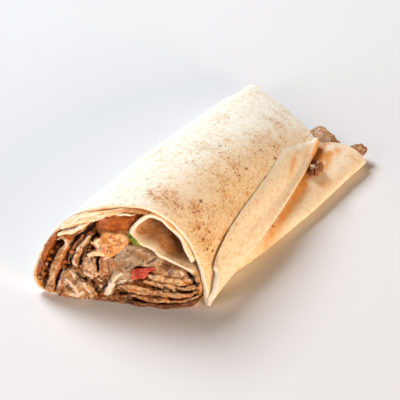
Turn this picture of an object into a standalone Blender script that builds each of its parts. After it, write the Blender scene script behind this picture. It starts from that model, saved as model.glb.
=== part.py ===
"""Half of a doner kebab wrap: one thin flatbread rolled round sliced meat, sauce and salad.

The roll lies along Y. It is cut across at -Y, where every layer shows, and it is folded flat at +Y.
Seen from the cut, the sheet starts inside the roll as a hollow loop (the pocket), runs down into a
flat lobe on the right, back along the floor, up the left side, over the top and down the right flank
to a sharp fold, from where its last strip lies back on the top sheet.
The origin is on the ground under the middle of the wrap; all driving sizes are in millimetres.
"""
import bpy
import numpy as np

MM = 0.001

# The cut: a plane at a slant across the roll that also leans back as it rises.
CUT_Y = -69.1
CUT_SLANT = 0.494
CUT_LEAN = 0.335

# The bread
BREAD = 1.8                 # thickness of the sheet
STATIONS = (0.0, 0.035, 0.09, 0.17, 0.26, 0.36, 0.46, 0.56, 0.66, 0.75, 0.83, 0.9, 0.96, 1.0)
# How far a place in the section has moved from where it is at the cut to where it is at the folded end,
# for a way along the roll from 0 to 1: late, or early, or early but only behind the first stretch.
PACES = {
    "late": lambda way: way ** 2.6,
    "early": lambda way: 1.0 - (1.0 - way) ** 3,
    "held": lambda way: 1.0 - (1.0 - max(way - 0.12, 0.0) / 0.88) ** 3,
}

# The strip beyond the fold, which lies back on the top sheet
STRIP_WIDTH = 15.5
STRIP_NARROWER_AT_CUT = 3.2
STRIP_TAPER_START = 0.74    # way along where its far end starts to run back to the fold
STRIP_TIP_WIDTH = 1.6
STRIP_GAP = 0.6
STRIP_GAP_AT_CUT = 2.2      # how much wider the fold gapes at the cut
STRIP_GAPE_REACH = 0.14     # way along over which the gape closes
FOLD_POINT = 0.6            # how much longer than round the gaping fold is drawn

# The sheet's way through the roll, inner end first. Each row: x at the cut, x at the folded end, pace;
# the same for z; y where the sheet stops.
ROLL = (
    (23.1, 10.0, "late", 19.9, 10.9, "late", 58.0),     # free inner end
    (20.7, 8.5, "late", 24.2, 11.0, "late", 58.0),
    (17.1, 7.0, "late", 29.6, 11.0, "late", 58.0),
    (13.2, 5.2, "late", 33.8, 11.0, "late", 58.0),
    (9.3, 3.4, "late", 36.8, 10.9, "late", 58.0),
    (5.0, 2.4, "late", 38.2, 10.7, "late", 58.0),       # crest of the pocket
    (1.3, 0.6, "late", 35.2, 10.4, "late", 58.0),
    (-1.0, -0.7, "late", 31.2, 9.6, "late", 58.0),
    (-1.0, -0.7, "late", 28.4, 8.3, "late", 58.0),      # tip of the pocket
    (2.2, 1.4, "late", 25.9, 7.6, "late", 58.0),
    (6.8, 4.8, "late", 24.0, 7.9, "late", 58.0),
    (12.2, 10.0, "late", 20.4, 8.7, "early", 60.0),     # floor of the pocket
    (18.0, 16.0, "late", 18.1, 9.6, "early", 63.0),
    (24.4, 23.5, "late", 15.6, 10.2, "early", 68.5),    # top of the lobe
    (27.5, 30.0, "late", 12.2, 8.8, "early", 71.0),
    (28.7, 34.2, "held", 8.4, 6.7, "early", 71.5),
    (29.0, 36.4, "held", 4.4, 4.2, "early", 71.5),      # nose of the lobe
    (27.4, 34.6, "held", 1.3, 1.5, "late", 73.0),
    (22.0, 29.0, "held", 0.9, 0.9, "late", 74.5),
    (8.0, 10.0, "late", 0.9, 0.9, "late", 77.0),      # floor
    (-12.0, -12.0, "late", 0.9, 0.9, "late", 80.0),
    (-27.0, -30.0, "late", 0.9, 0.9, "late", 83.0),
    (-32.6, -35.0, "late", 2.6, 1.8, "late", 84.0),
    (-35.2, -36.6, "late", 8.3, 4.2, "late", 84.5),     # left side
    (-34.9, -36.4, "late", 14.0, 7.2, "late", 84.7),
    (-33.0, -34.8, "late", 22.0, 9.2, "late", 84.6),
    (-29.0, -31.5, "late", 30.0, 10.3, "late", 84.2),
    (-21.5, -22.5, "late", 37.4, 11.4, "late", 80.6),   # left shoulder
    (-9.0, -10.5, "late", 41.2, 12.3, "late", 76.0),    # crown
    (3.9, -0.5, "late", 41.3, 12.8, "late", 71.0),
    (13.2, 6.0, "late", 37.0, 13.2, "late", 67.5),      # right shoulder
    (20.2, 10.0, "late", 30.1, 13.3, "late", 65.0),
    (25.2, 13.0, "late", 23.2, 13.3, "late", 63.0),
    (28.4, 15.0, "late", 16.0, 13.3, "late", 62.0),     # flank
    (31.0, 16.4, "late", 9.9, 13.3, "early", 61.3),
    (32.1, 17.4, "late", 5.0, 13.3, "early", 61.0),     # just before the fold
)
ROLL_STEPS = 2              # samples on each span of the way
FOLD_STEPS = 5
STRIP_STEPS = 8

# The fillings. They run from the cut nearly to the folded end and sink with the roll.
FILL_STATIONS = (0.0, 0.15, 0.32, 0.50, 0.66, 0.79, 0.89)
FILL_END_Y = 68.0           # y that their way along would end at in the middle of the roll
FILL_END_SLANT = -0.45      # how that end runs across the roll
FLOOR_Z = 2.3               # top of the bread that the fillings lie on
FILL_SINK = {"late": 0.72, "early": 0.68}   # share of their height that they lose, by pace
FACE_ROUND = 1.4            # depth over which a piece's cut face rounds off


def cut_y(x, z):
    """Y of the cut plane at a place in the section."""
    return CUT_Y + CUT_SLANT * x + CUT_LEAN * z


def material(name, rgb, roughness):
    """One Principled material."""
    made = bpy.data.materials.new(name)
    made.use_nodes = True
    shader = made.node_tree.nodes["Principled BSDF"]
    shader.inputs["Base Color"].default_value = (*rgb, 1.0)
    shader.inputs["Roughness"].default_value = roughness
    shader.inputs["Metallic"].default_value = 0.0
    return made


def facing_out(verts, faces):
    """The same faces, all turned so that the closed mesh encloses a positive volume."""
    quads = np.array([face if len(face) == 4 else (*face, face[2]) for face in faces])
    a, b, c, d = (verts[quads[:, k]] for k in range(4))
    volume = np.einsum("ij,ij->i", a, np.cross(b, c)).sum() + np.einsum("ij,ij->i", a, np.cross(c, d)).sum()
    return faces if volume > 0 else [tuple(reversed(face)) for face in faces]


def add_object(name, verts_mm, faces, look):
    """One named object from points in millimetres."""
    verts = np.asarray(verts_mm) * MM
    mesh = bpy.data.meshes.new(name)
    mesh.from_pydata(verts.tolist(), [], facing_out(verts, faces))
    mesh.materials.append(look)
    mesh.shade_smooth()
    mesh.set_sharp_from_angle(angle=np.radians(50.0))
    made = bpy.data.objects.new(name, mesh)
    bpy.context.scene.collection.objects.link(made)
    return made


def smooth_line(points, steps):
    """Centripetal Catmull-Rom curve through the points, with some samples on each span."""
    points = np.asarray(points, float)
    padded = np.vstack([2 * points[0] - points[1], points, 2 * points[-1] - points[-2]])
    knots = np.concatenate([[0.0], np.cumsum(np.sqrt(np.linalg.norm(np.diff(padded, axis=0), axis=1)))])
    out = []
    for k in range(len(points) - 1):
        p, t = padded[k:k + 4], knots[k:k + 4]
        u = (t[1] + (t[2] - t[1]) * np.arange(steps) / steps)[:, None]
        a1 = ((t[1] - u) * p[0] + (u - t[0]) * p[1]) / (t[1] - t[0])
        a2 = ((t[2] - u) * p[1] + (u - t[1]) * p[2]) / (t[2] - t[1])
        a3 = ((t[3] - u) * p[2] + (u - t[2]) * p[3]) / (t[3] - t[2])
        b1 = ((t[2] - u) * a1 + (u - t[0]) * a2) / (t[2] - t[0])
        b2 = ((t[3] - u) * a2 + (u - t[1]) * a3) / (t[3] - t[1])
        out.append(((t[2] - u) * b1 + (u - t[1]) * b2) / (t[2] - t[1]))
    return np.vstack(out + [points[-1:]])


def normals_2d(line):
    """Unit normals of an open line in the x, z plane, on the left of its direction."""
    along = np.gradient(line[:, :2], axis=0)
    along /= np.linalg.norm(along, axis=1, keepdims=True)
    return np.stack([-along[:, 1], along[:, 0]], axis=1)


def roll_section(way):
    """Middle line of the sheet at a way along the roll, as rows of x, z, y: roll, fold and strip."""
    rows = []
    for x_cut, x_end, x_pace, z_cut, z_end, z_pace, y_end in ROLL:
        x = x_cut + (x_end - x_cut) * PACES[x_pace](way)
        z = z_cut + (z_end - z_cut) * PACES[z_pace](way)
        start = cut_y(x_cut, z_cut)
        rows.append((x, z, start + (y_end - start) * way))
    sheet = smooth_line(rows, ROLL_STEPS)
    sheet[:, 1] = np.maximum(sheet[:, 1], BREAD / 2)    # it lies flat on the ground

    gape = np.exp(-(way / STRIP_GAPE_REACH) ** 2)
    gap = STRIP_GAP + STRIP_GAP_AT_CUT * gape
    reach = BREAD + gap
    side = normals_2d(sheet)[-1]
    ahead = np.array([side[1], -side[0]])
    centre = sheet[-1, :2] + side * reach / 2
    turn = np.pi * np.arange(1, FOLD_STEPS + 1) / FOLD_STEPS
    fold = (centre[None] - np.outer(np.cos(turn), side) * reach / 2
            + np.outer(np.sin(turn), ahead) * reach / 2 * (1.0 + FOLD_POINT * gape))
    fold = np.column_stack([fold, np.full(len(fold), sheet[-1, 2])])

    taper = np.clip((way - STRIP_TAPER_START) / (1.0 - STRIP_TAPER_START), 0.0, 1.0)
    width = STRIP_WIDTH - STRIP_NARROWER_AT_CUT * gape
    width += (STRIP_TIP_WIDTH - width) * taper
    back = sheet[::-1]
    run = np.concatenate([[0.0], np.cumsum(np.linalg.norm(np.diff(back[:, :2], axis=0), axis=1))])
    raised = back[:, :2] + normals_2d(sheet)[::-1] * reach
    wanted = width * np.arange(1, STRIP_STEPS + 1) / STRIP_STEPS
    strip = np.column_stack([np.interp(wanted, run, raised[:, 0]), np.interp(wanted, run, raised[:, 1]),
                             np.interp(wanted, run, back[:, 2])])
    return np.vstack([sheet, fold, strip])


def sheet_solid(lines, thickness):
    """Closed sheet: each line's points are moved half a thickness to either side in the section."""
    left, right = [], []
    for line in lines:
        off = normals_2d(line) * thickness / 2
        left.append(np.column_stack([line[:, 0] + off[:, 0], line[:, 2], line[:, 1] + off[:, 1]]))
        right.append(np.column_stack([line[:, 0] - off[:, 0], line[:, 2], line[:, 1] - off[:, 1]]))
    verts = np.vstack([np.vstack(left), np.vstack(right)])
    rows, count = len(lines), len(lines[0])
    shift = rows * count

    def at(row, k, side):
        return side * shift + row * count + k

    faces = []
    for row in range(rows - 1):
        for k in range(count - 1):
            faces.append((at(row, k, 0), at(row, k + 1, 0), at(row + 1, k + 1, 0), at(row + 1, k, 0)))
            faces.append((at(row, k, 1), at(row + 1, k, 1), at(row + 1, k + 1, 1), at(row, k + 1, 1)))
        for k, flip in ((0, False), (count - 1, True)):
            face = (at(row, k, 0), at(row + 1, k, 0), at(row + 1, k, 1), at(row, k, 1))
            faces.append(tuple(reversed(face)) if flip else face)
    for row, flip in ((0, True), (rows - 1, False)):
        for k in range(count - 1):
            face = (at(row, k, 0), at(row, k + 1, 0), at(row, k + 1, 1), at(row, k, 1))
            faces.append(tuple(reversed(face)) if flip else face)
    return verts, faces


def flatbread(look):
    """The whole sheet, from its inner end in the pocket to the free edge of the strip."""
    verts, faces = sheet_solid([roll_section(way) for way in STATIONS], BREAD)
    return add_object("flatbread", verts, faces, look)


def band_outline(line, half, side_points=7):
    """Outline of a slice: a smooth middle line with a rounded band of half a thickness either side."""
    smooth = smooth_line(line, 4)
    run = np.concatenate([[0.0], np.cumsum(np.linalg.norm(np.diff(smooth, axis=0), axis=1))])
    steps = np.linspace(0.0, run[-1], side_points)
    middle = np.column_stack([np.interp(steps, run, smooth[:, k]) for k in range(2)])
    share = np.abs(2 * steps / run[-1] - 1.0)
    width = half * np.clip(1.0 - share ** 8, 0.35, 1.0)
    off = normals_2d(middle) * width[:, None]
    return np.vstack([middle + off, (middle - off)[::-1]])


def lump_outline(centre, radii, tilt=0.0, dents=(0.0, 0.0, 0.0), count=14):
    """Outline of a lump: an ellipse dented by its second, third and fourth waves, turned by a tilt."""
    turn = 2 * np.pi * (np.arange(count) + 0.5) / count
    swell = 1.0 + dents[0] * np.cos(2 * turn) + dents[1] * np.cos(3 * turn + 0.7) + dents[2] * np.sin(4 * turn)
    x, z = radii[0] * np.cos(turn) * swell, radii[1] * np.sin(turn) * swell
    c, s = np.cos(np.radians(tilt)), np.sin(np.radians(tilt))
    return np.column_stack([centre[0] + c * x - s * z, centre[1] + s * x + c * z])


def through_roll(name, outline, bulge, look, pace, thin=0.9):
    """A piece that runs from the cut nearly to the folded end, sinking and thinning with the roll.

    bulge is how far its face stands out of the cut plane; outline gives the section at a size."""
    rings = []
    depths = [(outline(0.62), 0.0, 0.0)]
    depths += [(outline(1.0 - (1.0 - thin) * way), way, FACE_ROUND) for way in FILL_STATIONS]
    for ring, way, inset in depths:
        start = cut_y(ring[:, 0], ring[:, 1]) - bulge + inset
        end = FILL_END_Y + FILL_END_SLANT * ring[:, 0]
        y = start + (end - start) * way
        z = FLOOR_Z + (ring[:, 1] - FLOOR_Z) * (1.0 - FILL_SINK[pace] * PACES[pace](way))
        rings.append(np.column_stack([ring[:, 0], y, z]))
    verts, faces = capped_loft(rings)
    return add_object(name, verts, faces, look)


def capped_loft(rings):
    """Closed solid through rings of equal count; each cap joins a ring's two sides with quads."""
    count = len(rings[0])
    verts = np.vstack(rings)
    faces = []
    for row in range(len(rings) - 1):
        for k in range(count):
            j = (k + 1) % count
            faces.append((row * count + k, row * count + j, (row + 1) * count + j, (row + 1) * count + k))
    last = (len(rings) - 1) * count
    for k in range(count // 2 - 1):
        faces.append((k, count - 1 - k, count - 2 - k, k + 1))
        faces.append((last + k, last + k + 1, last + count - 2 - k, last + count - 1 - k))
    return verts, faces


# Slices: middle line in the section at the cut, thickness, bulge of the face, pace of sinking
SLICES = {
    "bread_flap_inner": (((-27.4, 27.2), (-23.8, 31.3), (-18.4, 34.8), (-12.0, 37.2), (-4.0, 38.4)),
                         1.6, 0.5, "late"),
    "meat_slice_left_1": (((-31.2, 4.9), (-31.8, 11.0), (-30.9, 17.0), (-29.3, 22.4)), 3.4, -3.0, "late"),
    "meat_slice_left_2": (((-26.6, 4.4), (-27.2, 11.2), (-26.5, 17.3), (-25.2, 23.4)), 4.0, 2.0, "late"),
    "meat_slice_left_3": (((-22.6, 16.8), (-21.9, 21.8), (-20.3, 26.0), (-17.6, 29.6)), 2.7, 1.0, "late"),
    "meat_slice_left_4": (((-19.0, 17.0), (-18.7, 20.8), (-17.7, 24.0), (-16.3, 26.4)), 2.3, 1.0, "late"),
    "meat_slice_right_1": (((3.6, 11.3), (11.0, 11.4), (16.6, 11.3), (23.2, 12.2)), 2.3, 6.5, "early"),
    "meat_slice_right_2": (((3.0, 8.6), (12.0, 8.7), (19.0, 8.7), (24.8, 10.0)), 2.3, 7.5, "early"),
    "meat_slice_right_3": (((2.6, 5.9), (12.0, 6.0), (20.5, 6.0), (26.2, 7.5)), 2.3, 8.5, "early"),
    "meat_slice_right_4": (((2.4, 3.4), (12.0, 3.4), (21.0, 3.4), (27.0, 4.9)), 2.1, 9.5, "early"),
    "garlic_sauce": (((-3.2, 7.0), (-0.4, 12.0), (1.4, 17.6), (4.2, 20.2), (7.0, 20.1)), 4.3, 4.0, "early"),
}
# Lumps: centre and radii in the section at the cut, tilt, dents, bulge of the face, pace of sinking
LUMPS = {
    "meat_chunk_left": ((-15.8, 8.6), (7.5, 5.7), -24.0, (0.02, 0.06, 0.0), 8.0, "late"),
    "meat_chunk_middle": ((-12.2, 16.9), (3.2, 2.5), 0.0, (0.0, 0.05, 0.03), 3.0, "late"),
    "meat_chunk_centre": ((-5.7, 14.2), (2.9, 4.3), 0.0, (0.0, 0.04, 0.03), 3.0, "late"),
    "meat_chunk_right": ((17.8, 15.0), (4.9, 1.9), -12.0, (0.0, 0.04, 0.0), 2.0, "early"),
    "meat_crumble_bottom": ((-3.0, 3.7), (4.7, 1.3), 0.0, (0.0, 0.0, 0.04), 9.0, "early"),
    "salad_filling": ((-8.6, 23.7), (6.1, 4.3), 6.0, (0.0, 0.05, 0.03), 1.0, "late"),
    "sauced_onion": ((-9.4, 32.2), (6.0, 3.2), 2.0, (0.0, 0.04, 0.0), -3.0, "late"),
    "tomato_piece": ((8.4, 15.2), (3.8, 2.4), 8.0, (0.0, 0.04, 0.03), 5.0, "early"),
}

# Meat that pokes out of the folded end: rings of y, left x, right x, z, half thickness
TIPS = {
    "meat_tip_far_1": ((59.5, 4.0, 21.5, 5.2, 0.9), (67.0, 4.0, 22.5, 5.6, 1.1), (73.5, 4.6, 22.0, 6.0, 1.1),
                       (77.0, 5.6, 16.0, 6.6, 1.0), (79.0, 7.0, 11.5, 6.8, 0.5)),
    "meat_tip_far_2": ((60.0, 23.5, 31.5, 4.6, 0.9), (70.0, 24.0, 33.0, 4.8, 1.1), (76.5, 26.0, 33.5, 5.0, 1.1),
                       (79.6, 28.0, 32.0, 5.0, 0.6)),
}
TIP_SLANT = -0.12
SIDE_BIT = ((27.4, 43.0, 12.1), (2.3, 4.8, 1.1))    # centre and radii of the bit in the crevice
BIT_RINGS = 7


def meat_tip(name, look):
    """A flat tip of meat, through bands across the roll."""
    rings = []
    for y, left, right, z, half in TIPS[name]:
        ring = band_outline(((left, z), ((left + right) / 2, z + 0.3), (right, z - 0.2)), half)
        rings.append(np.column_stack([ring[:, 0], y + TIP_SLANT * (ring[:, 0] - left), ring[:, 1]]))
    verts, faces = capped_loft(rings)
    return add_object(name, verts, faces, look)


def side_bit(look):
    """The bit of meat in the crevice beside the fold: an uneven lump through rings along Y."""
    centre, radii = SIDE_BIT
    rings = []
    for turn in np.linspace(0.14, np.pi - 0.14, BIT_RINGS):
        size = np.sin(turn) ** 0.8
        ring = lump_outline((centre[0], centre[2]), (radii[0] * size, radii[2] * size), -22.0, (0.0, 0.12, 0.06))
        rings.append(np.column_stack([ring[:, 0], np.full(len(ring), centre[1] - radii[1] * np.cos(turn)),
                                      ring[:, 1]]))
    verts, faces = capped_loft(rings)
    return add_object("meat_bit_side", verts, faces, look)


def slice_piece(name, look):
    """A slice or flap that runs through the roll."""
    line, thickness, bulge, pace = SLICES[name]
    return through_roll(name, lambda size: band_outline(line, thickness / 2 * size), bulge, look, pace)


def lump_piece(name, look):
    """A lump that runs through the roll."""
    centre, radii, tilt, dents, bulge, pace = LUMPS[name]
    return through_roll(
        name, lambda size: lump_outline(centre, (radii[0] * size, radii[1] * size), tilt, dents),
        bulge, look, pace)


def main():
    for old in list(bpy.data.objects):
        bpy.data.objects.remove(old, do_unlink=True)
    bread = material("flatbread_toasted", (0.85, 0.66, 0.44), 0.75)
    meat = material("doner_meat", (0.26, 0.12, 0.05), 0.6)
    sauce = material("garlic_sauce_white", (0.72, 0.62, 0.48), 0.35)
    salad = material("salad_mixed", (0.78, 0.5, 0.3), 0.45)
    onion = material("onion_sauced", (0.55, 0.2, 0.05), 0.45)
    tomato = material("tomato_red", (0.65, 0.08, 0.04), 0.3)
    looks = {"bread_flap_inner": bread, "salad_filling": salad, "sauced_onion": onion,
             "tomato_piece": tomato, "garlic_sauce": sauce}
    flatbread(bread)
    for name in SLICES:
        slice_piece(name, looks.get(name, meat))
    for name in LUMPS:
        lump_piece(name, looks.get(name, meat))
    for name in TIPS:
        meat_tip(name, meat)
    side_bit(meat)


main()
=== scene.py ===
"""Looks of one half of a doner kebab wrap: a toasted flatbread rolled round sliced meat, sauce and salad.

The roll lies along Y. It is cut across at a slant at -Y, where the fillings show, and folded flat at +Y.
Lengths are in millimetres until a mesh is made. A place on the cut face is given by u, across it, and v, up it.
"""

import math

import bpy
import numpy as np
from mathutils import Matrix, Vector


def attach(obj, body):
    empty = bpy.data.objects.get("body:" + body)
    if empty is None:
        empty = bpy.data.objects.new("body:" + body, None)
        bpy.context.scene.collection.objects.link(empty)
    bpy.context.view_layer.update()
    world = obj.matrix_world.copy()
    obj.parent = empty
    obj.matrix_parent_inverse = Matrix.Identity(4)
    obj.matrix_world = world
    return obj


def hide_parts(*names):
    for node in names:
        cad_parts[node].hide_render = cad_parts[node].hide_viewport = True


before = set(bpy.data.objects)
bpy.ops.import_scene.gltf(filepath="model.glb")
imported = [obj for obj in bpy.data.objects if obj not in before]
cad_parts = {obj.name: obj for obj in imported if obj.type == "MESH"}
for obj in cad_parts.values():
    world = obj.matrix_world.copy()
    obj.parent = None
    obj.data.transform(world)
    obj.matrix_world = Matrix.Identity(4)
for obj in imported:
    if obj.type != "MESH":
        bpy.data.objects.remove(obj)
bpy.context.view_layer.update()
MM = 0.001

# ---------------------------------------------------------------- camera, light and floor
AZIMUTH = math.radians(35.0)
ELEVATION = math.radians(38.0)
PAN = math.radians(0.6456)
CAMERA_TARGET = Vector((-0.0228, 0.0006, 0.0))
CAMERA_DISTANCE = 1.1946
LENS = 236.9


def make_camera():
    """A long lens that looks down on the cut face from the front right."""
    right = Vector((math.cos(AZIMUTH), math.sin(AZIMUTH), 0.0))
    back = Vector((math.sin(AZIMUTH) * math.cos(ELEVATION), -math.cos(AZIMUTH) * math.cos(ELEVATION),
                   math.sin(ELEVATION)))
    up = back.cross(right)
    place = CAMERA_TARGET + back * CAMERA_DISTANCE
    panned_back = back * math.cos(PAN) - right * math.sin(PAN)
    panned_right = right * math.cos(PAN) + back * math.sin(PAN)
    data = bpy.data.cameras.new("camera")
    data.lens, data.sensor_width = LENS, 36.0
    data.clip_start, data.clip_end = 0.05, 20.0
    camera = bpy.data.objects.new("camera", data)
    turn = Matrix((panned_right, up, panned_back)).transposed().to_4x4()
    camera.matrix_world = Matrix.Translation(place) @ turn
    bpy.context.scene.collection.objects.link(camera)
    bpy.context.scene.camera = camera


def linear(code):
    """sRGB hex colour as linear red, green, blue and a full alpha."""
    parts = [int(code[k:k + 2], 16) / 255.0 for k in (1, 3, 5)]
    return (*[c / 12.92 if c <= 0.04045 else ((c + 0.055) / 1.055) ** 2.4 for c in parts], 1.0)


def area_light(name, place, aim, size, power, colour):
    """A square soft box at a place, turned to a point, both in metres."""
    data = bpy.data.lights.new(name, "AREA")
    data.shape, data.size, data.energy, data.color = "SQUARE", size, power, linear(colour)[:3]
    lamp = bpy.data.objects.new(name, data)
    lamp.location = place
    lamp.rotation_euler = (Vector(aim) - Vector(place)).to_track_quat("-Z", "Y").to_euler()
    bpy.context.scene.collection.objects.link(lamp)


def make_light():
    """Key from the left and behind, a low warm fill from the right, a weak cool one from the front."""
    area_light("key", (-1.49, 0.52, 1.28), (0.0, 0.0, 0.02), 0.9, 59.0, "#F2F8FF")
    area_light("warm_fill", (1.20, -0.48, 0.29), (0.0, 0.0, 0.02), 0.6, 18.0, "#FFDAB0")
    area_light("cool_fill", (-0.30, -1.15, 0.40), (0.0, -0.03, 0.02), 0.6, 6.5, "#EEF3FF")
    world = bpy.data.worlds.new("sky")
    world.use_nodes = True
    sky = world.node_tree.nodes["Background"]
    sky.inputs["Color"].default_value = linear("#F4F6FA")
    sky.inputs["Strength"].default_value = 0.02
    bpy.context.scene.world = world
    bpy.context.scene.view_settings.view_transform = "Standard"     # colours as they are, with no film curve


# ---------------------------------------------------------------- noise and curves
def corner_value(ix, iy, iz, seed):
    """A number from 0 to 1 for each lattice corner, from an integer hash of its place."""
    h = (ix * 374761393 + iy * 668265263 + iz * 1440662683 + seed * 1274126177) & 0xFFFFFFFF
    h = ((h ^ (h >> 13)) * 1274126177) & 0xFFFFFFFF
    h = ((h ^ (h >> 15)) * 668265263) & 0xFFFFFFFF
    return ((h ^ (h >> 16)) & 0xFFFF) / 65535.0


def noise(points, size, seed):
    """Smooth noise from -1 to 1: hashed corner values blended through each lattice cell by a quintic."""
    q = np.asarray(points, float) / np.asarray(size, float) + 31.7 * seed
    cell = np.floor(q).astype(np.int64)
    f = q - cell
    f = f * f * f * (f * (f * 6.0 - 15.0) + 10.0)
    total = np.zeros(q.shape[:-1])
    for dx in (0, 1):
        for dy in (0, 1):
            for dz in (0, 1):
                weight = (np.where(dx, f[..., 0], 1 - f[..., 0]) * np.where(dy, f[..., 1], 1 - f[..., 1])
                          * np.where(dz, f[..., 2], 1 - f[..., 2]))
                total += weight * corner_value(cell[..., 0] + dx, cell[..., 1] + dy, cell[..., 2] + dz, seed)
    return total * 2.0 - 1.0


TURN = np.array([[0.36, 0.48, -0.8], [-0.8, 0.6, 0.0], [0.48, 0.64, 0.6]])


def layered_noise(points, size, seed, octaves=3):
    """Sum of noises of halving size and strength, each turned against the one before."""
    total, weight, q = 0.0, 1.0, np.asarray(points, float)
    for octave in range(octaves):
        total = total + weight * noise(q, size, seed + octave)
        q, weight = q @ TURN * 2.03, weight * 0.5
    return total / (2.0 - 2.0 ** (1 - octaves))


def smooth_step(value, low, high):
    """0 below low, 1 above high and a smooth cubic between."""
    share = np.clip((value - low) / (high - low), 0.0, 1.0)
    return share * share * (3.0 - 2.0 * share)


def curve_through(points, count, closed=False):
    """Centripetal Catmull-Rom curve through the points, read at evenly spaced places along it."""
    points = np.asarray(points, float)
    if closed:
        padded = np.vstack([points[-1], points, points[:2]])
    else:
        padded = np.vstack([2 * points[0] - points[1], points, 2 * points[-1] - points[-2]])
    gaps = np.sqrt(np.linalg.norm(np.diff(padded[:, :2], axis=0), axis=1)) + 1e-6
    knots = np.concatenate([[0.0], np.cumsum(gaps)])
    out = []
    for k in range(len(padded) - 3):
        p, t = padded[k:k + 4], knots[k:k + 4]
        s = (t[1] + (t[2] - t[1]) * np.arange(24) / 24)[:, None]
        a1 = ((t[1] - s) * p[0] + (s - t[0]) * p[1]) / (t[1] - t[0])
        a2 = ((t[2] - s) * p[1] + (s - t[1]) * p[2]) / (t[2] - t[1])
        a3 = ((t[3] - s) * p[2] + (s - t[2]) * p[3]) / (t[3] - t[2])
        b1 = ((t[2] - s) * a1 + (s - t[0]) * a2) / (t[2] - t[0])
        b2 = ((t[3] - s) * a2 + (s - t[1]) * a3) / (t[3] - t[1])
        out.append(((t[2] - s) * b1 + (s - t[1]) * b2) / (t[2] - t[1]))
    line = np.vstack(out + [padded[-2:-1]])
    run = np.concatenate([[0.0], np.cumsum(np.linalg.norm(np.diff(line[:, :2], axis=0), axis=1))])
    wanted = np.linspace(0.0, run[-1], count + 1 if closed else count)[:count]
    return np.column_stack([np.interp(wanted, run, line[:, k]) for k in range(line.shape[1])])


def across(line):
    """Unit normals of open lines in a plane, on the left of their direction; the last axis is the plane."""
    along = np.gradient(line, axis=-2)
    along = along / np.linalg.norm(along, axis=-1, keepdims=True)
    return np.stack([-along[..., 1], along[..., 0]], axis=-1)


# ---------------------------------------------------------------- meshes
def loft_faces(rings, count):
    """Quads between closed rings of equal count, and a ladder of quads over the first and the last."""
    row = np.arange(rings - 1)[:, None] * count
    k = np.arange(count)[None]
    j = (k + 1) % count
    sides = np.stack([row + k, row + j, row + count + j, row + count + k], -1).reshape(-1, 4)
    i = np.arange(count // 2 - 1)
    first = np.stack([i, count - 1 - i, count - 2 - i, i + 1], -1)
    last = (rings - 1) * count + np.stack([i, i + 1, count - 2 - i, count - 1 - i], -1)
    return np.vstack([sides, first, last])


def facing_out(verts, faces):
    """The faces turned so that the closed mesh holds a positive volume."""
    a, b, c, d = (verts[faces[:, k]] for k in range(4))
    volume = np.einsum("ij,ij->i", a, np.cross(b, c) + np.cross(c, d)).sum()
    return faces if volume > 0 else faces[:, ::-1]


def grid_normals(rings):
    """Unit normals of a grid of closed rings, from its two differences; their side is the grid's own."""
    along = np.gradient(rings, axis=0)
    around = np.roll(rings, -1, axis=1) - np.roll(rings, 1, axis=1)
    normal = np.cross(along, around)
    return normal / np.maximum(np.linalg.norm(normal, axis=-1, keepdims=True), 1e-9)


def outward_normals(rings):
    """grid_normals turned to point away from the closed shape."""
    faces = loft_faces(*rings.shape[:2])
    verts = rings.reshape(-1, 3)
    turned = facing_out(verts, faces)
    sign = -1.0 if np.array_equal(turned, faces) else 1.0
    return grid_normals(rings) * sign


def add_piece(name, verts, faces, look, replaces=(), paint=None):
    """One closed object that rides on the part's only body; paint holds a value for each vertex."""
    mesh = bpy.data.meshes.new(name)
    mesh.from_pydata((np.asarray(verts) * MM).tolist(), [], facing_out(verts, faces).tolist())
    mesh.shade_smooth()
    for key, values in (paint or {}).items():
        layer = mesh.attributes.new(key, "FLOAT", "POINT")
        layer.data.foreach_set("value", np.clip(np.ravel(values), 0.0, 1.0).astype(np.float32))
    mesh.materials.append(look)
    made = bpy.data.objects.new(name, mesh)
    bpy.context.scene.collection.objects.link(made)
    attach(made, "root")
    if replaces:
        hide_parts(*replaces)
    return made


# ---------------------------------------------------------------- the form of the roll
CUT_Y = -69.1
CUT_SLANT = 0.494
CUT_LEAN = 0.335
BREAD = 1.8
PACES = {
    "late": lambda way: way ** 2.6,
    "early": lambda way: 1.0 - (1.0 - way) ** 3,
    "quick": lambda way: 1.0 - (1.0 - way) ** 5,
    "held": lambda way: 1.0 - (1.0 - np.maximum(way - 0.12, 0.0) / 0.88) ** 3,
}
STRIP_WIDTH = 15.5
STRIP_NARROWER_AT_CUT = 3.2
STRIP_TAPER_START = 0.74
STRIP_TIP_WIDTH = 1.6
STRIP_GAP = 0.06
STRIP_GAP_AT_CUT = 2.6
STRIP_CORNER_BACK = 5.6
STRIP_PRESSED = 0.35
STRIP_GAPE_REACH = 0.14
STRIP_LIP_REACH = 0.04
STRIP_SLIT = (0.115, 0.055, 0.8)     # where its free edge stands open: way, reach, gap
FOLD_POINT = 0.9

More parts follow.
